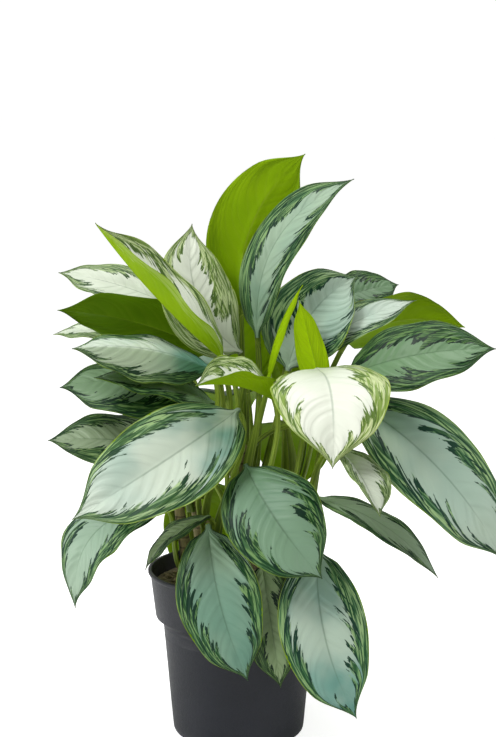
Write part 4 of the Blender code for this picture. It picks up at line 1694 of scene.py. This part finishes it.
@dataclass
class PottingMix:
    """The potting mix: an uneven dark bed with chips of bark on it."""

    SEED = 20
    OWN_CHIP_STEP = 0.113

    bed_seed: float = 0.35
    radius: float = 0.0886
    by_wall: tuple[tuple[float, float], ...] = (
        (0.062, 0.0028), (0.0670, 0.012), (0.0775, 0.119), (0.0838, 0.128), (0.0878, 0.156),
    )
    rings: int = 60
    sides: int = 120
    rough: float = 0.0022
    lumps: float = 38.0
    crumb: float = 0.0011
    crumbs: float = 230.0
    chip_count: int = 420
    chip_reach: float = 0.084
    chip_sizes: tuple[float, float] = (0.0016, 0.0042)
    chip_sides: int = 7
    chip_levels: tuple[float, ...] = (-0.9, -0.45, 0.35, 0.85)
    chip_sharp_edge: float = 35.0

    def height(self, x: float, y: float) -> float:
        """The top of the bed."""
        broad = self.rough * noise.noise(Vector((x, y, 0.0)) * self.lumps)
        return SOIL_TOP + broad + self.crumb * noise.noise(Vector((x, y, 1.0)) * self.crumbs)

    def build(self, finish: bpy.types.Material, chip_finish: bpy.types.Material) -> None:
        """Builds the bed and its chips.

        Args:
            finish: The bed's finish.
            chip_finish: The chips' finish.
        """
        skin = Skin()
        turns = np.arange(self.sides) * math.tau / self.sides
        top = [(self.radius * (self.rings - i) / self.rings, None) for i in range(self.rings)]
        stations = [*self.by_wall, *top]
        for radius, level in stations:
            x, y = radius * np.cos(turns), radius * np.sin(turns)
            z = [self.height(*spot) if level is None else level for spot in zip(x, y)]
            points = np.stack([x, y, np.array(z)], 1)
            places = np.stack([turns, np.full(self.sides, radius)], 1)
            skin.add_points(points, places, np.zeros((self.sides, 4)), self.bed_seed)
        skin.add_tube(len(stations), self.sides)
        settle(skin.build("packed_soil", [finish]), Slot.MIX, "soil")
        self.strew(chip_finish)

    def strew(self, finish: bpy.types.Material) -> None:
        """Strews the chips of bark.

        Args:
            finish: Their finish.
        """
        draw = random.Random(self.SEED)
        skin = Skin()
        for number in range(self.chip_count):
            reach = self.chip_reach * math.sqrt(draw.random())
            turn = draw.uniform(0.0, math.tau)
            x, y = reach * math.cos(turn), reach * math.sin(turn)
            size = draw.uniform(*self.chip_sizes)
            shape = np.array((size, size * draw.uniform(0.4, 0.8), size * draw.uniform(0.25, 0.5)))
            lift = float(shape[2]) * draw.uniform(0.2, 0.9)
            self.add_chip(skin, draw, np.array((x, y, self.height(x, y) + lift)), shape, number)
        settle(skin.build("bark_chips", [finish], self.chip_sharp_edge), Slot.MIX)

    def add_chip(
        self, skin: Skin, draw: random.Random, centre: np.ndarray, size: np.ndarray, number: int
    ) -> None:
        """Adds one chip, a worn lump with flat ends.

        Args:
            skin: The chips' skin.
            draw: The draw of random numbers.
            centre: Its centre.
            size: Its half sizes.
            number: Its number.
        """
        sides = self.chip_sides
        heading, pitch = draw.uniform(0.0, math.tau), draw.uniform(-0.4, 0.4)
        level_part = math.cos(pitch)
        ahead = np.array((math.cos(heading) * level_part, math.sin(heading) * level_part, math.sin(pitch)))
        aside = unit(np.cross((0.0, 0.0, 1.0), ahead))
        above = np.cross(ahead, aside)
        first = skin.count
        for level in self.chip_levels:
            girth = math.sqrt(1.0 - level * level) * draw.uniform(0.75, 1.1)
            turns = (np.arange(sides) + draw.uniform(-0.2, 0.2)) * math.tau / sides
            worn = np.array([draw.uniform(0.75, 1.15) for _ in range(sides)])
            wide = np.cos(turns) * size[1] * girth * worn
            tall = np.sin(turns) * size[2] * girth
            points = centre + level * size[0] * ahead + wide[:, None] * aside + tall[:, None] * above
            own = number * self.OWN_CHIP_STEP
            skin.add_points(points, np.zeros((sides, 2)), np.zeros((sides, 4)), own)
        for i in range(len(self.chip_levels) - 1):
            low = first + i * sides
            high = low + sides
            for j in range(sides):
                k = (j + 1) % sides
                skin.add_face((low + j, low + k, high + k, high + j))
        skin.add_face(tuple(range(first, first + sides))[::-1])
        skin.add_face(tuple(range(skin.count - sides, skin.count)))


@dataclass(frozen=True)
class LampSpec:
    """A square lamp: its place and side in metres, and its power in watts."""

    name: str
    place: Point
    size: float
    power: float


LAMPS = (
    LampSpec("key", (-1.1, -1.2, 2.0), 0.7, 27.0),
    LampSpec("side", (-2.0, -0.3, 0.7), 0.9, 15.0),
    LampSpec("fill", (1.9, -0.7, 0.9), 1.0, 8.0),
    LampSpec("top", (0.1, 0.2, 2.3), 1.0, 23.0),
)


@dataclass
class Studio:
    """A pale floor, soft light from all round, and a camera that looks a little down on the plant."""

    looked_at: Point = (0.010, 0.0, 0.388)
    camera_distance: float = 2.115
    camera_pitch: float = 10.0
    lens: float = 100.0
    sensor: float = 36.0
    lit_point: Point = (0.0, 0.0, 0.35)
    floor_half: float = 12.0
    floor_grey: float = 0.93
    floor_roughness: float = 0.9
    floor_glow: float = 0.75
    backdrop_strength: float = 1.02
    world_strength: float = 0.25
    glossy_strength: float = 0.55

    def build(self) -> None:
        """Builds the floor, the lights, the sky and the camera."""
        self.add_floor()
        for lamp in LAMPS:
            self.add_lamp(lamp)
        self.add_sky()
        self.add_camera()
        bpy.context.scene.view_settings.view_transform = "Standard"

    def add_floor(self) -> None:
        """Adds the floor. It glows a little to the camera, and so stays pale."""
        half = self.floor_half
        mesh = bpy.data.meshes.new("studio_floor")
        corners = [(-half, -half, 0.0), (half, -half, 0.0), (half, half, 0.0), (-half, half, 0.0)]
        mesh.from_pydata(corners, [], [(0, 1, 2, 3)])
        material, bench, shader = new_material("studio_floor")
        shader.inputs["Base Color"].default_value = (self.floor_grey, self.floor_grey, self.floor_grey, 1.0)
        shader.inputs["Roughness"].default_value = self.floor_roughness
        shader.inputs["Emission Color"].default_value = WHITE
        seen = bench.add("LightPath").outputs["Is Camera Ray"]
        bench.feed(shader.inputs["Emission Strength"], bench.math("MULTIPLY", seen, self.floor_glow))
        mesh.materials.append(material)
        floor = bpy.data.objects.new("studio_floor", mesh)
        bpy.context.scene.collection.objects.link(floor)

    def add_lamp(self, spec: LampSpec) -> None:
        """Adds a lamp that looks at the plant.

        Args:
            spec: The lamp.
        """
        data = bpy.data.lights.new(spec.name, "AREA")
        data.energy, data.size = spec.power, spec.size
        lamp = bpy.data.objects.new(spec.name, data)
        lamp.location = spec.place
        gaze = Vector(self.lit_point) - Vector(spec.place)
        lamp.rotation_euler = gaze.to_track_quat("-Z", "Y").to_euler()
        bpy.context.scene.collection.objects.link(lamp)

    def add_sky(self) -> None:
        """Adds a white sky, dimmer to the plant than to the camera."""
        world = bpy.data.worlds.new("studio")
        world.use_nodes = True
        bench = Bench(world.node_tree)
        back = world.node_tree.nodes["Background"]
        back.inputs["Color"].default_value = WHITE
        rays = bench.add("LightPath").outputs
        dim = self.world_strength
        strength = bench.math("MULTIPLY_ADD", rays["Is Camera Ray"], self.backdrop_strength - dim, dim)
        strength = bench.math("MULTIPLY_ADD", rays["Is Glossy Ray"], self.glossy_strength - dim, strength)
        bench.feed(back.inputs["Strength"], strength)
        bpy.context.scene.world = world

    def add_camera(self) -> None:
        """Adds the camera, level from side to side and pitched down at the plant."""
        pitch = math.radians(self.camera_pitch)
        x, y, z = self.looked_at
        back, above = self.camera_distance * math.cos(pitch), self.camera_distance * math.sin(pitch)
        data = bpy.data.cameras.new("camera")
        data.lens, data.sensor_width = self.lens, self.sensor
        camera = bpy.data.objects.new("camera", data)
        camera.location = (x, y - back, z + above)
        camera.rotation_euler = (math.radians(90.0 - self.camera_pitch), 0.0, 0.0)
        bpy.context.scene.collection.objects.link(camera)
        bpy.context.scene.camera = camera


def main() -> None:
    """Builds the plant, the pot and the studio, and notes their sizes."""
    logging.basicConfig(level=logging.INFO, format="%(name)s: %(message)s")
    Groups.build()
    Pot().build(PlasticFinish().build())
    PottingMix().build(BED.build(), CHIPS.build())
    canes = Canes()
    canes.build(CaneFinish().build())
    finishes = [BladeFinish().build(), UndersideFinish().build(), StalkFinish().build()]
    for number, spec in enumerate(LEAVES, 1):
        Leaf(spec, canes, number).build(finishes)
    Studio().build()


if __name__ == "__main__":
    main()
